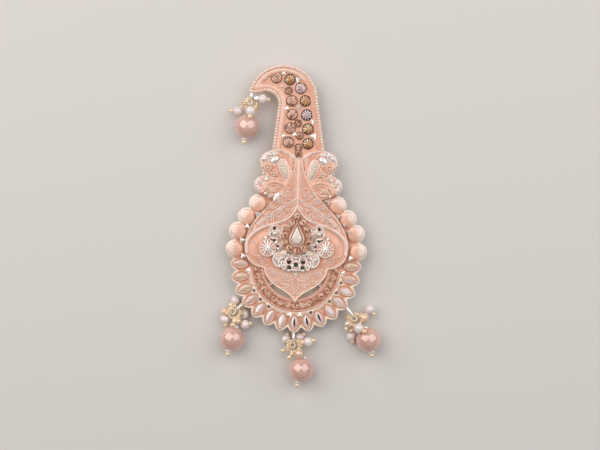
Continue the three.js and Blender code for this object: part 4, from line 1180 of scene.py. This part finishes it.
SHOULDER_CUTS = [(12.9, 22.8, 0.8), (13.0, 16.4, 0.7), (11.4, 33.3, 0.6), (-13.9, 30.7, 0.9)]
SHOULDER_CUTS += [(-12.7, 22.6, 0.8), (-11.4, 16.0, 1.0), (-13.0, 17.0, 0.7)]
four_sided = stacked(ring((0, 0), 1, 4), [(0.9, -1.1), (1, 0.1), (0.2, 0.4)])
bright_cuts("shoulder_bright_cuts", SHOULDER_CUTS, 8.0, four_sided, 20, 0.1, 1.0)
slim = stacked(turned(marquise(3.9, 1.4, 5), -36), [(0.9, -0.6), (1, 0.5), (0.15, 0.72)])
sparks = rng.uniform(0.85, 1.1, (1, 40))
set_pieces("shoulder_slim_gem", [(-8.6, 15.9, 7.7)], slim, clear_crystal, sparks=sparks)
grains("shoulder_pearls", [(14.9, 28.4, 7.3), (11.4, 14.6, 6.45), (-14.0, 24.9, 7.2)], 0.62, bare_silver)

# ---- Lotus plate ----------------------------------------------------------------------------------------
# The long middle casting: a ridged stem that parts into two arched ribs, panels of chased scrolls under
# them, two smooth swelling side lobes and a pointed lower petal. Ribs and borders are wiped to silver.
LOTUS_UNDER, LOTUS_FACE = 7.2, 7.95
LOTUS_CURVES = [[(1.7, 25.4), (5.0, 18.4), (12.3, 11.6)], [(17.0, 7.6), (20.4, 1.6), (20.7, -3.8)]]
LOTUS_CURVES += [[(20.9, -9.0), (17.2, -12.5), (12.7, -12.6)], [(12.4, -18.0), (6.6, -20.4), (3.4, -22.4)]]
LOTUS_CURVES += [[(2.0, -23.3), (0.7, -24.6), (0, -26.2)]]
lotus_half = path((0, 32.0), (1.3, 31.6), *LOTUS_CURVES, steps=16)
rib = [(0, 12.2), (1.5, 9.2), (3.4, 7.3), (5.9, 6.0), (8.9, 5.0), (12.1, 4.0), (14.9, 2.7), (17.4, 0.9)]
rib_end = smoothed((17.4, 0.9), (19.1, -1.2), (19.9, -4.0), (19.8, -6.6))
rib = np.concatenate([smoothed(*rib), rib_end[1:]])
lobe = [(3.0, 6.4), (8.6, 4.2), (13.0, 2.4), (16.8, -0.4), (18.9, -4.0), (18.3, -8.0), (15.8, -10.8)]
lobe = smoothed(*lobe, (12.6, -11.6), (10.2, -11.0), (9.6, -6.0), (6.0, 0.0))


def lotus_surface(places, depth):
    x, y = np.abs(places[:, 0]), places[:, 1]
    flipped = np.column_stack([x, y])
    edge = 1 - ramp(depth, 0.25, 0.5)
    height = LOTUS_FACE + 0.2 * edge
    to_rib = from_line(flipped, rib)
    raised = swell(to_rib, 1.5)
    stem = swell(x, 1.0) * ramp(y, 12.0, 13.0)
    height += 0.35 * np.maximum(raised, stem)
    shine = np.maximum(0.75 * edge, 0.7 * np.maximum(raised, stem))
    into_lobe = from_segments(flipped, lobe, np.roll(lobe, -1, axis=0))
    height += np.where(inside(flipped, lobe), 0.35 * ramp(into_lobe, 0, 3.0), 0)
    # Above the rib, the panel ground between the scroll wires is painted darker as shade, and the lower petal
    # is painted lighter. The furrow up the stem and the foot each side of the rib dip and are painted darker
    # as shade.
    above_rib = (y > np.interp(x, rib[:, 0], rib[:, 1])) & (raised < 0.05) & (stem < 0.05) & (depth > 0.5)
    chased = above_rib * (1 - 0.6 * ramp(y, 20, 25)) - (y < -12.5) * ramp(depth, 0.6, 1.2) * 1.8
    shaded_furrow = (1 - ramp(np.abs(x - 1.5 - 0.05 * (y - 20)), 0.1, 0.5)) * ramp(y, 14, 17) * (depth > 0.3)
    height -= 0.2 * shaded_furrow
    shaded_rib_foot = (1 - ramp(np.abs(to_rib - 0.85), 0.05, 0.3)) * 0.2
    return height - 0.1 * shaded_rib_foot, np.clip(shine - 0.12 * chased - 0.25 * shaded_furrow - shaded_rib_foot, -1, 1)


lotus_top = relief(
    "lotus_casting", [whole(lotus_half)], window_loops, lotus_surface, peach_lacquer, ["lotus_plate"],
    bottom=LOTUS_UNDER, step=0.34,
)
chased_silver = finish(
    "chased_silver_plate", "silver_plate", (250, 220, 202), (242, 204, 188), 1.5, 0.26, 0.2, 0.2,
    coat=0.3, ridge=(248, 234, 232),
)


def beside(line, distance):
    """A line moved sideways, to its left for a positive distance."""
    return line + distance * leftward(np.gradient(line, axis=0))


def chase(name, lines, top, lift, radius, look, rim=0.2, taper=0.25):
    """Wires laid on a plate's face and on its mirror side."""
    wires(name, laid(on_both_sides(lines), top, lift), radius, look, rim, taper)


upper_rib = [(0.2, 15.4), (1.8, 14.2), (3.9, 13.2), (6.6, 11.9), (9.0, 10.0), (10.4, 7.9), (10.3, 6.0)]
upper_rib = smoothed(*upper_rib)
outer_rib = smoothed((9.0, 10.0), (11.4, 8.4), (13.8, 7.0), (15.8, 5.2), (17.0, 3.4), (17.2, 1.9))
chase("lotus_ribs", [rib[:-3], upper_rib, outer_rib], lotus_top, 0.1, 0.25, chased_silver, 0.8, 0.0)
panel = [
    beside(upper_rib[3:], -0.85),
    beside(outer_rib[4:], -0.8),
    scroll((7.6, 8.5), 1.95, 100, 2.0, 1, (3.2, 10.7), (4.6, 10.6), (6.2, 10.6)),
    smoothed((1.4, 11.8), (2.8, 9.6), (4.4, 8.2), (5.2, 7.2)),
    scroll((3.9, 10.8), 0.85, 300, 1.1, -1),
    scroll((14.3, 4.9), 1.35, 130, 1.7, -1, (11.6, 6.6), (12.6, 6.2)),
    smoothed((10.9, 6.6), (11.9, 5.7), (12.4, 4.9)),
    smoothed((16.4, 3.6), (16.9, 2.6), (16.4, 2.1)),
    scroll((3.7, 16.6), 1.7, 280, 1.9, 1, (1.2, 14.9), (2.2, 14.5), (3.0, 14.6)),
    scroll((7.0, 14.3), 1.4, 230, 1.7, 1, (4.6, 13.8), (5.4, 13.2)),
    scroll((10.1, 12.0), 0.95, 220, 1.3, 1, (8.0, 12.2), (8.8, 11.4)),
    scroll((12.9, 9.2), 0.8, 220, 1.2, 1, (10.9, 9.8), (11.8, 9.1)),
    smoothed((5.6, 18.0), (7.2, 16.3), (9.2, 14.4), (11.4, 12.6)),
    smoothed((2.4, 12.7), (4.2, 12.1), (6.4, 11.4), (8.2, 10.4)),
    smoothed((0.9, 13.2), (1.8, 11.0), (3.0, 9.2), (4.2, 7.9), (5.8, 6.9)),
    smoothed((5.6, 9.9), (5.0, 8.6), (5.3, 7.2), (6.6, 6.2), (8.2, 5.9)),
    smoothed((11.3, 7.7), (12.8, 7.0), (14.4, 6.2), (15.8, 4.6)),
    smoothed((11.2, 5.6), (12.0, 4.6), (13.2, 3.9)),
    smoothed((1.4, 18.6), (2.6, 19.4), (3.8, 19.0), (4.6, 17.8)),
    smoothed((5.3, 15.6), (6.2, 16.3), (6.0, 17.3)),
    smoothed((8.4, 13.4), (9.2, 14.0), (8.9, 14.9)),
    smoothed((11.3, 10.8), (12.1, 11.3), (11.9, 12.1)),
    smoothed((13.9, 8.9), (15.0, 8.1), (16.0, 6.9), (16.9, 5.3)),
]
chase("lotus_scrolls", panel, lotus_top, 0.1, 0.26, chased_silver)
BARB_PITCH = 1.15  # up the stem
barbs = []
for k in range(10):
    low, middle, high = (start + BARB_PITCH * k for start in (14.8, 16.0, 17.2))
    barbs.append(smoothed((0.8, low), (1.6, middle), (2.9 - 0.15 * k, high)))
chase("lotus_barbs", barbs, lotus_top, 0.06, 0.18, chased_silver, 0.0, 0.0)
lobe_lines = [
    scroll((13.4, -9.5), 1.75, 60, 1.8, -1, (18.4, -4.6), (17.8, -7.0), (15.9, -8.0), (14.6, -7.7)),
    scroll((17.0, -2.6), 0.75, 90, 1.1, 1),
    smoothed((19.0, -7.4), (17.6, -9.8), (15.2, -11.4), (12.6, -11.7), (10.8, -11.2)),
]
chase("lobe_scrolls", lobe_lines, lotus_top, 0.08, 0.22, (chased_silver[0], "peach_lacquer"), taper=0.3)
heart = [
    scroll((8.7, -14.7), 1.35, 60, 1.7, -1, (11.3, -14.0), (10.6, -13.2), (9.6, -13.2)),
    smoothed((0.2, -16.6), (1.6, -17.4), (3.4, -17.7), (5.0, -16.8), (5.8, -15.0), (5.2, -13.6)),
    scroll((3.9, -15.6), 1.2, 250, 1.4, 1, (1.4, -15.6), (2.4, -16.4)),
    scroll((7.4, -18.0), 1.0, 30, 1.3, -1, (10.6, -16.2), (9.6, -17.6), (8.6, -17.4)),
    scroll((3.4, -19.6), 1.0, 60, 1.4, -1, (6.2, -18.2), (5.4, -19.2), (4.4, -18.8)),
    smoothed((0.3, -17.6), (1.2, -18.8), (1.0, -20.4), (0.2, -22.4)),
    smoothed((5.6, -20.3), (4.6, -20.6), (3.4, -21.4)),
    smoothed((0.2, -22.4), (0.9, -23.1), (1.6, -22.7)),
]
chase("petal_scrolls", heart, lotus_top, 0.1, 0.25, chased_silver)
seeds = [(1.3, -20.9), (5.6, -17.9), (8.6, -14.6), (3.9, -15.5), (17.6, 1.6), (15.9, -5.6), (2.2, 11.2)]
seeds += [(7.6, 8.5), (14.3, 4.9), (3.7, 16.6), (7.0, 14.3), (12.4, -7.4), (1.9, -14.0), (6.9, -13.2)]
seeds = np.array([(side * x, y) for x, y in seeds for side in (1, -1)])
grains("lotus_seeds", level(seeds, lotus_top(seeds)), 0.34, chased_silver)
INLAY_FOOT, INLAY_TOP = 8.0, 8.35  # a small three-sided inlay of bare metal at the top of the lower petal
inlay = np.array([(-1.05, -14.3), (1.05, -14.3), (0, -16.4)])
inlay_points = np.concatenate([level(inlay, INLAY_FOOT), level(inlay, INLAY_TOP)])
inlay_faces = [(0, 1, 2), (3, 5, 4), (0, 3, 4, 1), (1, 4, 5, 2), (2, 5, 3, 0)]
piece("lotus_grey_inlay", inlay_points, inlay_faces, grey_metal, smooth=False)

# ---- Openwork gallery -----------------------------------------------------------------------------------
# A bright pierced gallery of leaves, wires and grains that lifts the pear cluster, with a rayed daisy at
# each side. It is bare silver plate over the open windows, so that its holes look black.
GALLERY_MIDDLE, GALLERY_REACH = (0, -3.6), (9.2, 10.2)
GALLERY_UNDER, GALLERY_FACE = 8.2, 8.75
DAISY, DAISY_RADIUS, DAISY_UNDER, DAISY_TOP = (11.5, -4.7), 3.3, 8.5, 9.1
GALLERY_LOBES = [(*DAISY, 3.4), (8.6, 1.6, 3.0), (6.4, -9.2, 3.2)]
GALLERY_HOLES = [(8.9, 3.2, 0.6), (9.7, 0.9, 0.55), (8.8, -1.7, 0.6), (7.8, -4.6, 1.05), (5.0, -11.2, 0.65)]
GALLERY_HOLES += [(2.8, -9.7, 1.0), (2.7, -12.4, 0.85), (0.2, -11.1, 0.75)]
gallery_shapes = [ring((0, 0), 1, 60) * GALLERY_REACH + GALLERY_MIDDLE]
gallery_shapes += [ring((side * x, y), radius, 30) for x, y, radius in GALLERY_LOBES for side in (1, -1)]
gallery_holes = []
for x, y, radius in GALLERY_HOLES:
    for side in (1, -1):
        leaning = side * 40 * (y > -9)
        gallery_holes.append(turned(marquise(2.6 * radius, 2.0 * radius, 5), leaning, (side * x, y)))


def gallery_surface(places, depth):
    turn = np.arctan2(places[:, 1] - GALLERY_MIDDLE[1], np.abs(places[:, 0]))
    flutes = 0.5 + 0.5 * np.cos(11 * turn)
    edge = swell(depth - 0.3, 0.6)
    from_daisy = np.hypot(np.abs(places[:, 0]) - DAISY[0], places[:, 1] - DAISY[1])
    dish = 1 - ramp(from_daisy, DAISY_RADIUS - 0.5, DAISY_RADIUS - 0.2)
    height = GALLERY_FACE + (0.3 * edge + 0.25 * flutes * ramp(depth, 0.3, 0.8)) * (1 - dish) + 0.25 * dish
    # The valleys between the flutes are painted darker, toward the hollow tone, as shade.
    shine = 0.2 * edge - 0.4 * (1 - flutes) * ramp(depth, 0.4, 0.9) * (1 - edge)
    return height, np.where(dish > 0.5, -0.05, shine)


rose_silver = finish(
    "rose_silver_plate", "silver_plate", (252, 226, 212), (242, 208, 192), 1.5, 0.24, 0.3, 0.2,
    coat=0.4, ridge=(255, 250, 244), hollow=(140, 90, 70),
)
white_silver = finish(
    "burnished_silver", "silver_plate", (255, 251, 246), (248, 238, 230), 1.0, 0.15, 0.5, 0.2, coat=0.7
)
gallery_top = relief(
    "gallery_casting", gallery_shapes, gallery_holes, gallery_surface, rose_silver, ["openwork_gallery"],
    bottom=GALLERY_UNDER,
)


def dish_surface(places, depth):
    return DAISY_TOP - 0.1 + 0.2 * ramp(depth, 0, 2.5), 0.5 * ramp(depth, 0.8, 2.5)


daisies = [(side * DAISY[0], DAISY[1]) for side in (1, -1)]
dishes = [ring(daisy, DAISY_RADIUS - 0.1, 30) for daisy in daisies]
relief("daisy_dishes", dishes, [], dish_surface, peach_lacquer, bottom=DAISY_UNDER, step=0.8)
rays = []
for turn in range(0, 360, 30):
    near, far = at_turn(DAISY, 0.3, turn), at_turn(DAISY, DAISY_RADIUS - 0.3, turn)
    rays.append(np.array([near, (near + far) / 2, far]))
ray_heights = [DAISY_TOP + 0.3, DAISY_TOP + 0.2, DAISY_TOP + 0.05]
wires("daisy_rays", [level(ray, ray_heights) for ray in on_both_sides(rays)], 0.3, white_silver, taper=0.3)
daisy_rings = [level(ring(daisy, DAISY_RADIUS, 30), DAISY_TOP) for daisy in daisies]
wires("daisy_rings", daisy_rings, 0.26, chased_silver, rim=0.2, closed=True)
grains("daisy_middles", level(daisies, DAISY_TOP + 0.15), 0.6, white_silver)
leaves = [
    smoothed((7.4, 4.4), (9.6, 4.2), (10.9, 2.4), (10.6, 0.2)),
    smoothed((6.4, -6.4), (8.4, -7.4), (9.2, -9.2), (8.4, -11.2)),
    smoothed((4.4, -8.0), (6.2, -8.8), (7.0, -10.2), (6.4, -12.2)),
    smoothed((1.6, -8.0), (1.4, -9.9), (1.7, -11.4), (1.2, -13.3)),
    smoothed((4.3, -8.8), (3.9, -11.0), (4.3, -13.0)),
    smoothed((5.8, -9.4), (5.8, -11.4), (4.6, -13.4)),
    smoothed((5.4, 3.4), (5.9, 1.8), (6.3, -0.4), (5.6, -3.0)),
]
chase("gallery_leaves", leaves, gallery_top, 0.15, 0.32, rose_silver, 0.6, 0.4)
# Burnished leaves, each (across, up, turn in degrees, size); they catch the light as white patches.
BURNISHED = [
    (8.7, 1.3, 60, 1.25), (8.1, -2.4, 30, 1.1), (7.2, -4.9, -50, 0.9), (2.8, -7.3, 80, 1.1),
    (5.6, 2.6, 20, 1.2), (12.4, -0.7, -20, 1.2), (12.8, -2.0, -50, 0.8), (4.9, -11.3, 0, 0.9),
    (6.9, -10.1, 20, 1.0), (5.8, -8.5, 40, 1.1), (7.7, -8.9, -60, 1.1), (6.6, -11.7, 50, 1.0),
    (8.9, -8.3, 10, 0.9), (4.1, -6.9, 60, 0.9), (2.8, -13.4, 80, 0.9), (9.2, -6.9, -40, 0.9),
    (10.8, 0.6, 10, 0.8), (1.2, -11.3, 0, 0.7),
]
burnished = [(side * x, y, side * turn, size) for x, y, turn, size in BURNISHED for side in (1, -1)]
burnished = np.array(burnished + [(0, -8.3, 90, 1.1), (0, -13.2, 90, 0.8)])
places, turn, size = burnished[:, :2], np.radians(burnished[:, 2]), burnished[:, 3]
places = level(places, gallery_top(places) + 0.1)
ridged_leaf = stacked(marquise(2.3, 1.3, 5), [(0.9, -0.4), (1, 0.05), (0.12, 0.3)])
set_pieces(
    "gallery_burnished_leaves", places, ridged_leaf, white_silver, size=size, turn=turn, smooth=True
)

# ---- Pear cluster ---------------------------------------------------------------------------------------
# An opal-champagne pear crystal in a bezel with two fine rims, in a halo of twelve small round rose crystals
# held by grains, on a pear-shaped plate.


def pear(margin, count=40):
    """The pear outline grown by an even margin."""
    radius, tip, middle = 2.35 + margin, PEAR_TIP + 1.6 * margin, -0.85
    touch = math.degrees(math.acos(radius / (tip - middle)))
    return np.concatenate([[(0, tip)], arc((0, middle), radius, 90 + touch, 450 - touch, count)])


PEAR_PLATE_UNDER, PEAR_PLATE_FACE, PEAR_PLATE_MARGIN = 9.1, 10.1, 3.75


def setting_surface(places, depth):
    edge = 1 - ramp(depth, 0.2, 0.5)
    # The plate's face, seen between the halo stones, is painted well toward the hollow tone as shade; its
    # edge is lighter.
    return PEAR_PLATE_FACE + 0.25 * edge, 0.3 * edge - 0.6


relief(
    "pear_setting_plate", [pear(PEAR_PLATE_MARGIN)], [], setting_surface, peach_lacquer, ["pear_setting"],
    bottom=PEAR_PLATE_UNDER, step=0.5,
)
bezel_rows = [(0.0, 9.9, -0.6), (0.05, 10.7, -0.4), (0.22, 11.2, 0.9), (0.42, 10.95, -0.2), (0.6, 11.45, 0.9)]
bezel_rows += [(0.85, 11.3, 0.4), (0.9, 9.9, 0.0)]
points, faces, rims = collar(pear(0.85, 60), bezel_rows)
piece("pear_bezel", points, faces, peach_lacquer, rim=rims)
pear_tones = [(176, 124, 104), (204, 186, 170), (236, 208, 194), (248, 230, 216), (254, 248, 240)]
pear_opal = crystal("pear_opal_crystal", "opal_crystal", pear_tones, 0.1, 0.25)
outline = pear(-0.2, 15)
pear_cut = stacked(outline, [(0.92, 11.0), (1.0, 11.6), (0.86, 12.3), (0.62, 12.6)])
# The pear stone's facet tones are painted light and shade: its girdle lighter on the left, its crown lighter
# on the right and its table darker toward the bottom.
left, low = outline[:, 0] < -0.5, outline[:, 1] < -1.6
girdle, crown, table = np.where(left, 0.95, 0.5), np.where(left, 0.55, 0.85), np.where(low, 0.7, 0.9)
dim, dull = np.full(len(outline), 0.3), np.full(len(outline), 0.4)
pear_sparks = np.concatenate([dim, girdle, crown, dull, table])[None]
set_pieces("pear_gem", [(0, 0, 0)], pear_cut, pear_opal, ["pear_stone"], sparks=pear_sparks)
HALO_SEAT, HALO_GRAIN_TOP = 10.6, 10.95
HALO_STONES = [(0, 8.2), (2.2, 5.7), (4.1, 3.5), (4.9, 0.5), (4.7, -2.3), (2.8, -4.6), (0, -5.5)]
HALO_STONES += [(-x, y) for x, y in HALO_STONES[1:-1]]
round_gems("halo_gems", HALO_STONES, HALO_SEAT, 1.5, 0.2, 0.25, 0.9)
order = sorted(HALO_STONES, key=lambda p: math.atan2(p[1] - 0.5, p[0]))
GRAIN_OUT, GRAIN_IN = 1.15, 1.0  # from the line between two stones to the grains each side of it
halo_grains = []
for near, far in zip(order, order[1:] + order[:1]):
    middle, run = (np.array(near) + far) / 2, np.array(far) - near
    out = np.array([run[1], -run[0]]) / np.hypot(*run)
    halo_grains += [middle + GRAIN_OUT * out, middle - GRAIN_IN * out]
grains("halo_grains", level(halo_grains, HALO_GRAIN_TOP), 0.34, rose_plate)

# ---- Drops ----------------------------------------------------------------------------------------------
# Four pink glass pearls on head pins, each hung by a jump ring from an upright eye on the casting's edge.
# The rings also carry short pins threaded with milky crystal beads, gold balls and bead caps.
PEARL_RADIUS, PEARL_BORE, PEARL_HEIGHT, TIP_AT = 4.97, 0.6, 5.1, 6.3
RING_RADIUS, RING_WIRE, RING_HEIGHT, PIN_WIRE = 2.4, 0.5, 4.9, 0.36
BALL = {"bead": 2.0, "gold": 1.0, "cap": 1.7, "rose": 2.1}
UP = np.array([0, 0, 1])
# Each drop has its eye's root, its ring's middle, two places along its pearl's axis, and its strings. A
# string has the turn at which it leaves the ring, and its balls, each (kind, across, up, height).
DROPS = {
    "tip": (
        [(-19.6, 57.6), (-19.9, 53.0), (-21.2, 43.6), (-22.2, 37.3)],
        (40, ("collar", -17.7, 55.0, 6.6), ("bead", -15.2, 54.8, 6.0), ("gold", -13.1, 54.6, 5.6)),
        (180, ("bead", -25.2, 49.9, 3.6), ("gold", -27.4, 49.9, 3.2)),
        (-40, ("bead", -19.9, 49.7, 8.4), ("gold", -19.9, 47.4, 9.8)),
    ),
    "left": (
        [(-20.9, -27.2), (-24.2, -31.0), (-24.6, -41.6), (-26.2, -47.4)],
        (90, ("gold", -25.6, -28.0, 4.4), ("bead", -24.0, -26.2, 2.0)),
        (-170, ("cap", -28.2, -30.7, 4.2), ("bead", -28.0, -33.8, 3.6), ("gold", -27.6, -36.0, 3.2)),
        (0, ("bead", -20.3, -31.6, 2.4), ("gold", -20.6, -29.5, 2.0)),
        (-60, ("gold", -24.0, -34.4, 5.8), ("gold", -24.6, -35.8, 8.4)),
        (-40, ("gold", -22.4, -34.3, 5.6), ("bead", -19.8, -35.7, 3.6), ("gold", -17.6, -35.3, 3.1)),
    ),
    "middle": (
        [(-0.2, -37.4), (0.0, -43.8), (3.3, -53.2), (1.9, -59.3)],
        (140, ("bead", -3.1, -41.2, 2.0), ("gold", -2.6, -39.2, 1.6)),
        (-155, ("gold", -4.2, -45.7, 4.5)),
        (52, ("bead", 2.2, -40.4, 2.0), ("gold", 3.8, -39.0, 2.2)),
        (15, ("gold", 3.5, -42.0, 5.3), ("bead", 5.7, -41.9, 4.6), ("gold", 8.0, -41.3, 4.3)),
        (-28, ("cap", 2.2, -46.6, 8.2)),
        (-100, ("gold", -0.6, -46.8, 5.6), ("gold", -1.6, -48.2, 5.8)),
    ),
    "right": (
        [(20.4, -26.9), (24.4, -32.5), (29.9, -40.4), (31.3, -46.2)],
        (45, ("rose", 27.9, -31.6, 4.4), ("bead", 30.2, -28.3, 3.4), ("gold", 31.6, -30.0, 3.0)),
        (-90, ("bead", 25.8, -35.7, 8.4), ("gold", 28.0, -36.8, 9.7)),
        (160, ("gold", 21.6, -31.6, 4.6), ("collar", 21.2, -34.2, 4.4), ("gold", 21.0, -36.2, 4.2)),
        (-135, ("gold", 23.0, -37.0, 3.4), ("bead", 22.9, -39.3, 2.0), ("gold", 23.7, -41.4, 1.7)),
    ),
}


def lathed(profile, place, heading, sides):
    """A turned solid whose profile is (distance along, radius) from a place along a heading."""
    along = Vector(heading).normalized()
    across = along.orthogonal().normalized()
    up = along.cross(across)
    points = []
    for distance, radius in profile:
        for i in range(sides):
            turn = 2 * math.pi * i / sides
            out = radius * (math.cos(turn) * across + math.sin(turn) * up)
            points.append(tuple(Vector(place) + along * distance + out))
    last = (len(profile) - 1) * sides
    return points, banded(len(profile), sides) + [tuple(range(sides))[::-1], tuple(range(last, last + sides))]


def ball_profile(radius, bore, rows, squash=1.0):
    """A bored ball's profile; the squash shortens it along its bore."""
    start = math.asin(bore / radius)
    turns = [start + (math.pi - 2 * start) * i / rows for i in range(rows + 1)]
    return [(-radius * squash * math.cos(t), radius * math.sin(t)) for t in turns]


def gathered(parts):
    """Several solids as one mesh."""
    points, faces = [], []
    for some, their in parts:
        faces += [tuple(i + len(points) for i in face) for face in their]
        points += some
    return points, faces


CUP = [(4.55, 0.5), (4.65, 1.5), (5.1, 1.55), (5.5, 1.1), (5.7, 0.4)]
NECK = [(-5.8, 0.4), (-5.6, 0.8), (-5.2, 1.2), (-4.8, 1.15), (-4.7, 0.4)]
COLLAR = [(-0.8, 0.5), (-0.7, 1.0), (0, 1.15), (0.7, 1.0), (0.8, 0.5)]
pearl_coat = finish(
    "pink_pearl", "pearl", (236, 190, 176), (226, 174, 160), 6.0, 0.2, 0.05, 0.6,
    coat=1.0, bump=0.0, coat_roughness=0.05, coat_ior=2.1,
)
bead_glass = finish(
    "milky_bead_crystal", "bead_crystal", (252, 238, 230), (240, 222, 224), 4.0, 0.2, 0.0, 0.4,
    coat=0.9, bump=0.03, coat_ior=1.8,
)
warm_gold = finish(
    "warm_gold_plate", "gold_plate", (255, 238, 210), (248, 212, 166), 1.2, 0.22, 0.3, 0.2, coat=0.4
)
peach_gold = finish(
    "peach_gold_plate", "gold_plate", (252, 226, 206), (244, 200, 172), 1.2, 0.22, 0.25, 0.2, coat=0.4
)
loop_turns = np.linspace(0, 2 * math.pi, 13)[:-1]
for name, (marks, *strings) in DROPS.items():
    root, loop, pearl_at, toward = np.array(marks)
    heading = (toward - pearl_at) / np.hypot(*(toward - pearl_at))
    middle, axis = np.array([*pearl_at, PEARL_HEIGHT]), np.array([*heading, 0])
    pearl = lathed(ball_profile(PEARL_RADIUS, PEARL_BORE, 24), middle, axis, 40)
    piece(f"drop_{name}_pearl", *pearl, pearl_coat, [f"pearl_{name}"])
    cups = gathered([lathed(CUP, middle, axis, 16), lathed(NECK, middle, axis, 16)])
    piece(f"drop_{name}_bead_cups", *cups, white_silver)
    pin_tip, neck_end = middle + TIP_AT * axis, middle - 5.3 * axis
    golds, beads, caps = [lathed(ball_profile(1.0, 0.2, 8), pin_tip, axis, 14)], [], []
    out = (pearl_at - loop) / np.hypot(*(pearl_at - loop))
    catch = np.array([*(loop + RING_RADIUS * out), RING_HEIGHT])
    out = np.array([*out, 0])
    eye_loop = np.array([catch + out * (1.0 * math.cos(t) + 0.2) + (0, 0, math.sin(t)) for t in loop_turns])
    lines, turns = [np.array([pin_tip, neck_end]), np.array([catch + 1.2 * out, neck_end])], []
    for start, *balls in strings:
        turn = math.radians(start)
        outwards = np.array([math.cos(turn), math.sin(turn), 0])
        along = np.array([-math.sin(turn), math.cos(turn), 0])
        stops = [np.array([*loop, RING_HEIGHT]) + RING_RADIUS * outwards]
        for shift in (-0.5, 0.25):
            hub = stops[0] + 0.2 * outwards + shift * along
            circle = [hub + 0.95 * (outwards * math.cos(t) + UP * math.sin(t)) for t in loop_turns]
            turns.append(np.array(circle))
        for kind, *place in balls:
            run = np.array(place) - stops[-1]
            if kind == "bead":
                beads.append(lathed(ball_profile(BALL[kind], 0.3, 10, 0.92), place, run, 16))
            elif kind == "collar":
                piece(f"drop_{name}_collar", *lathed(COLLAR, place, run, 16), white_silver)
            elif kind == "gold":
                golds.append(lathed(ball_profile(BALL[kind], 0.2, 8), place, run, 12))
            else:
                caps.append(lathed(ball_profile(BALL[kind], 0.3, 10, 0.8), place, run, 18))
            stops.append(np.array(place))
        lines.append(np.array(stops))
    piece(f"drop_{name}_beads", *gathered(beads), bead_glass, [f"bead_cluster_{name}"])
    piece(f"drop_{name}_gold_balls", *gathered(golds), warm_gold, [f"pearl_pin_{name}"])
    if caps:
        piece(f"drop_{name}_caps", *gathered(caps), peach_gold)
    wires(f"drop_{name}_pins", lines, PIN_WIRE, warm_gold)
    jump_ring = level(ring(loop, RING_RADIUS, 32), RING_HEIGHT)
    wires(f"drop_{name}_ring", [jump_ring], RING_WIRE, warm_gold, closed=True, sides=8)
    coil = level(ring(loop + (-0.5, 0.5), 1.05, 14), RING_HEIGHT + 0.9)
    wires(f"drop_{name}_pin_loops", [eye_loop, coil, *turns], PIN_WIRE, warm_gold, closed=True)
    away = math.hypot(*(loop - root))
    run, reach = np.array([*((loop - root) / away), 0]), away - RING_RADIUS + 0.9
    oval = [(0.35, 1.2), (reach - 1.2, 1.2), (reach - 0.35, 0.9), (reach, 0)]
    oval += [(reach - 0.35, -0.9), (reach - 1.2, -1.2), (0.35, -1.2)]
    eye = np.array([[*root, 5.0] + run * d + (0, 0, h) for d, h in oval])
    wires(f"drop_{name}_eye", [eye], 0.62, white_silver, closed=True, sides=8)
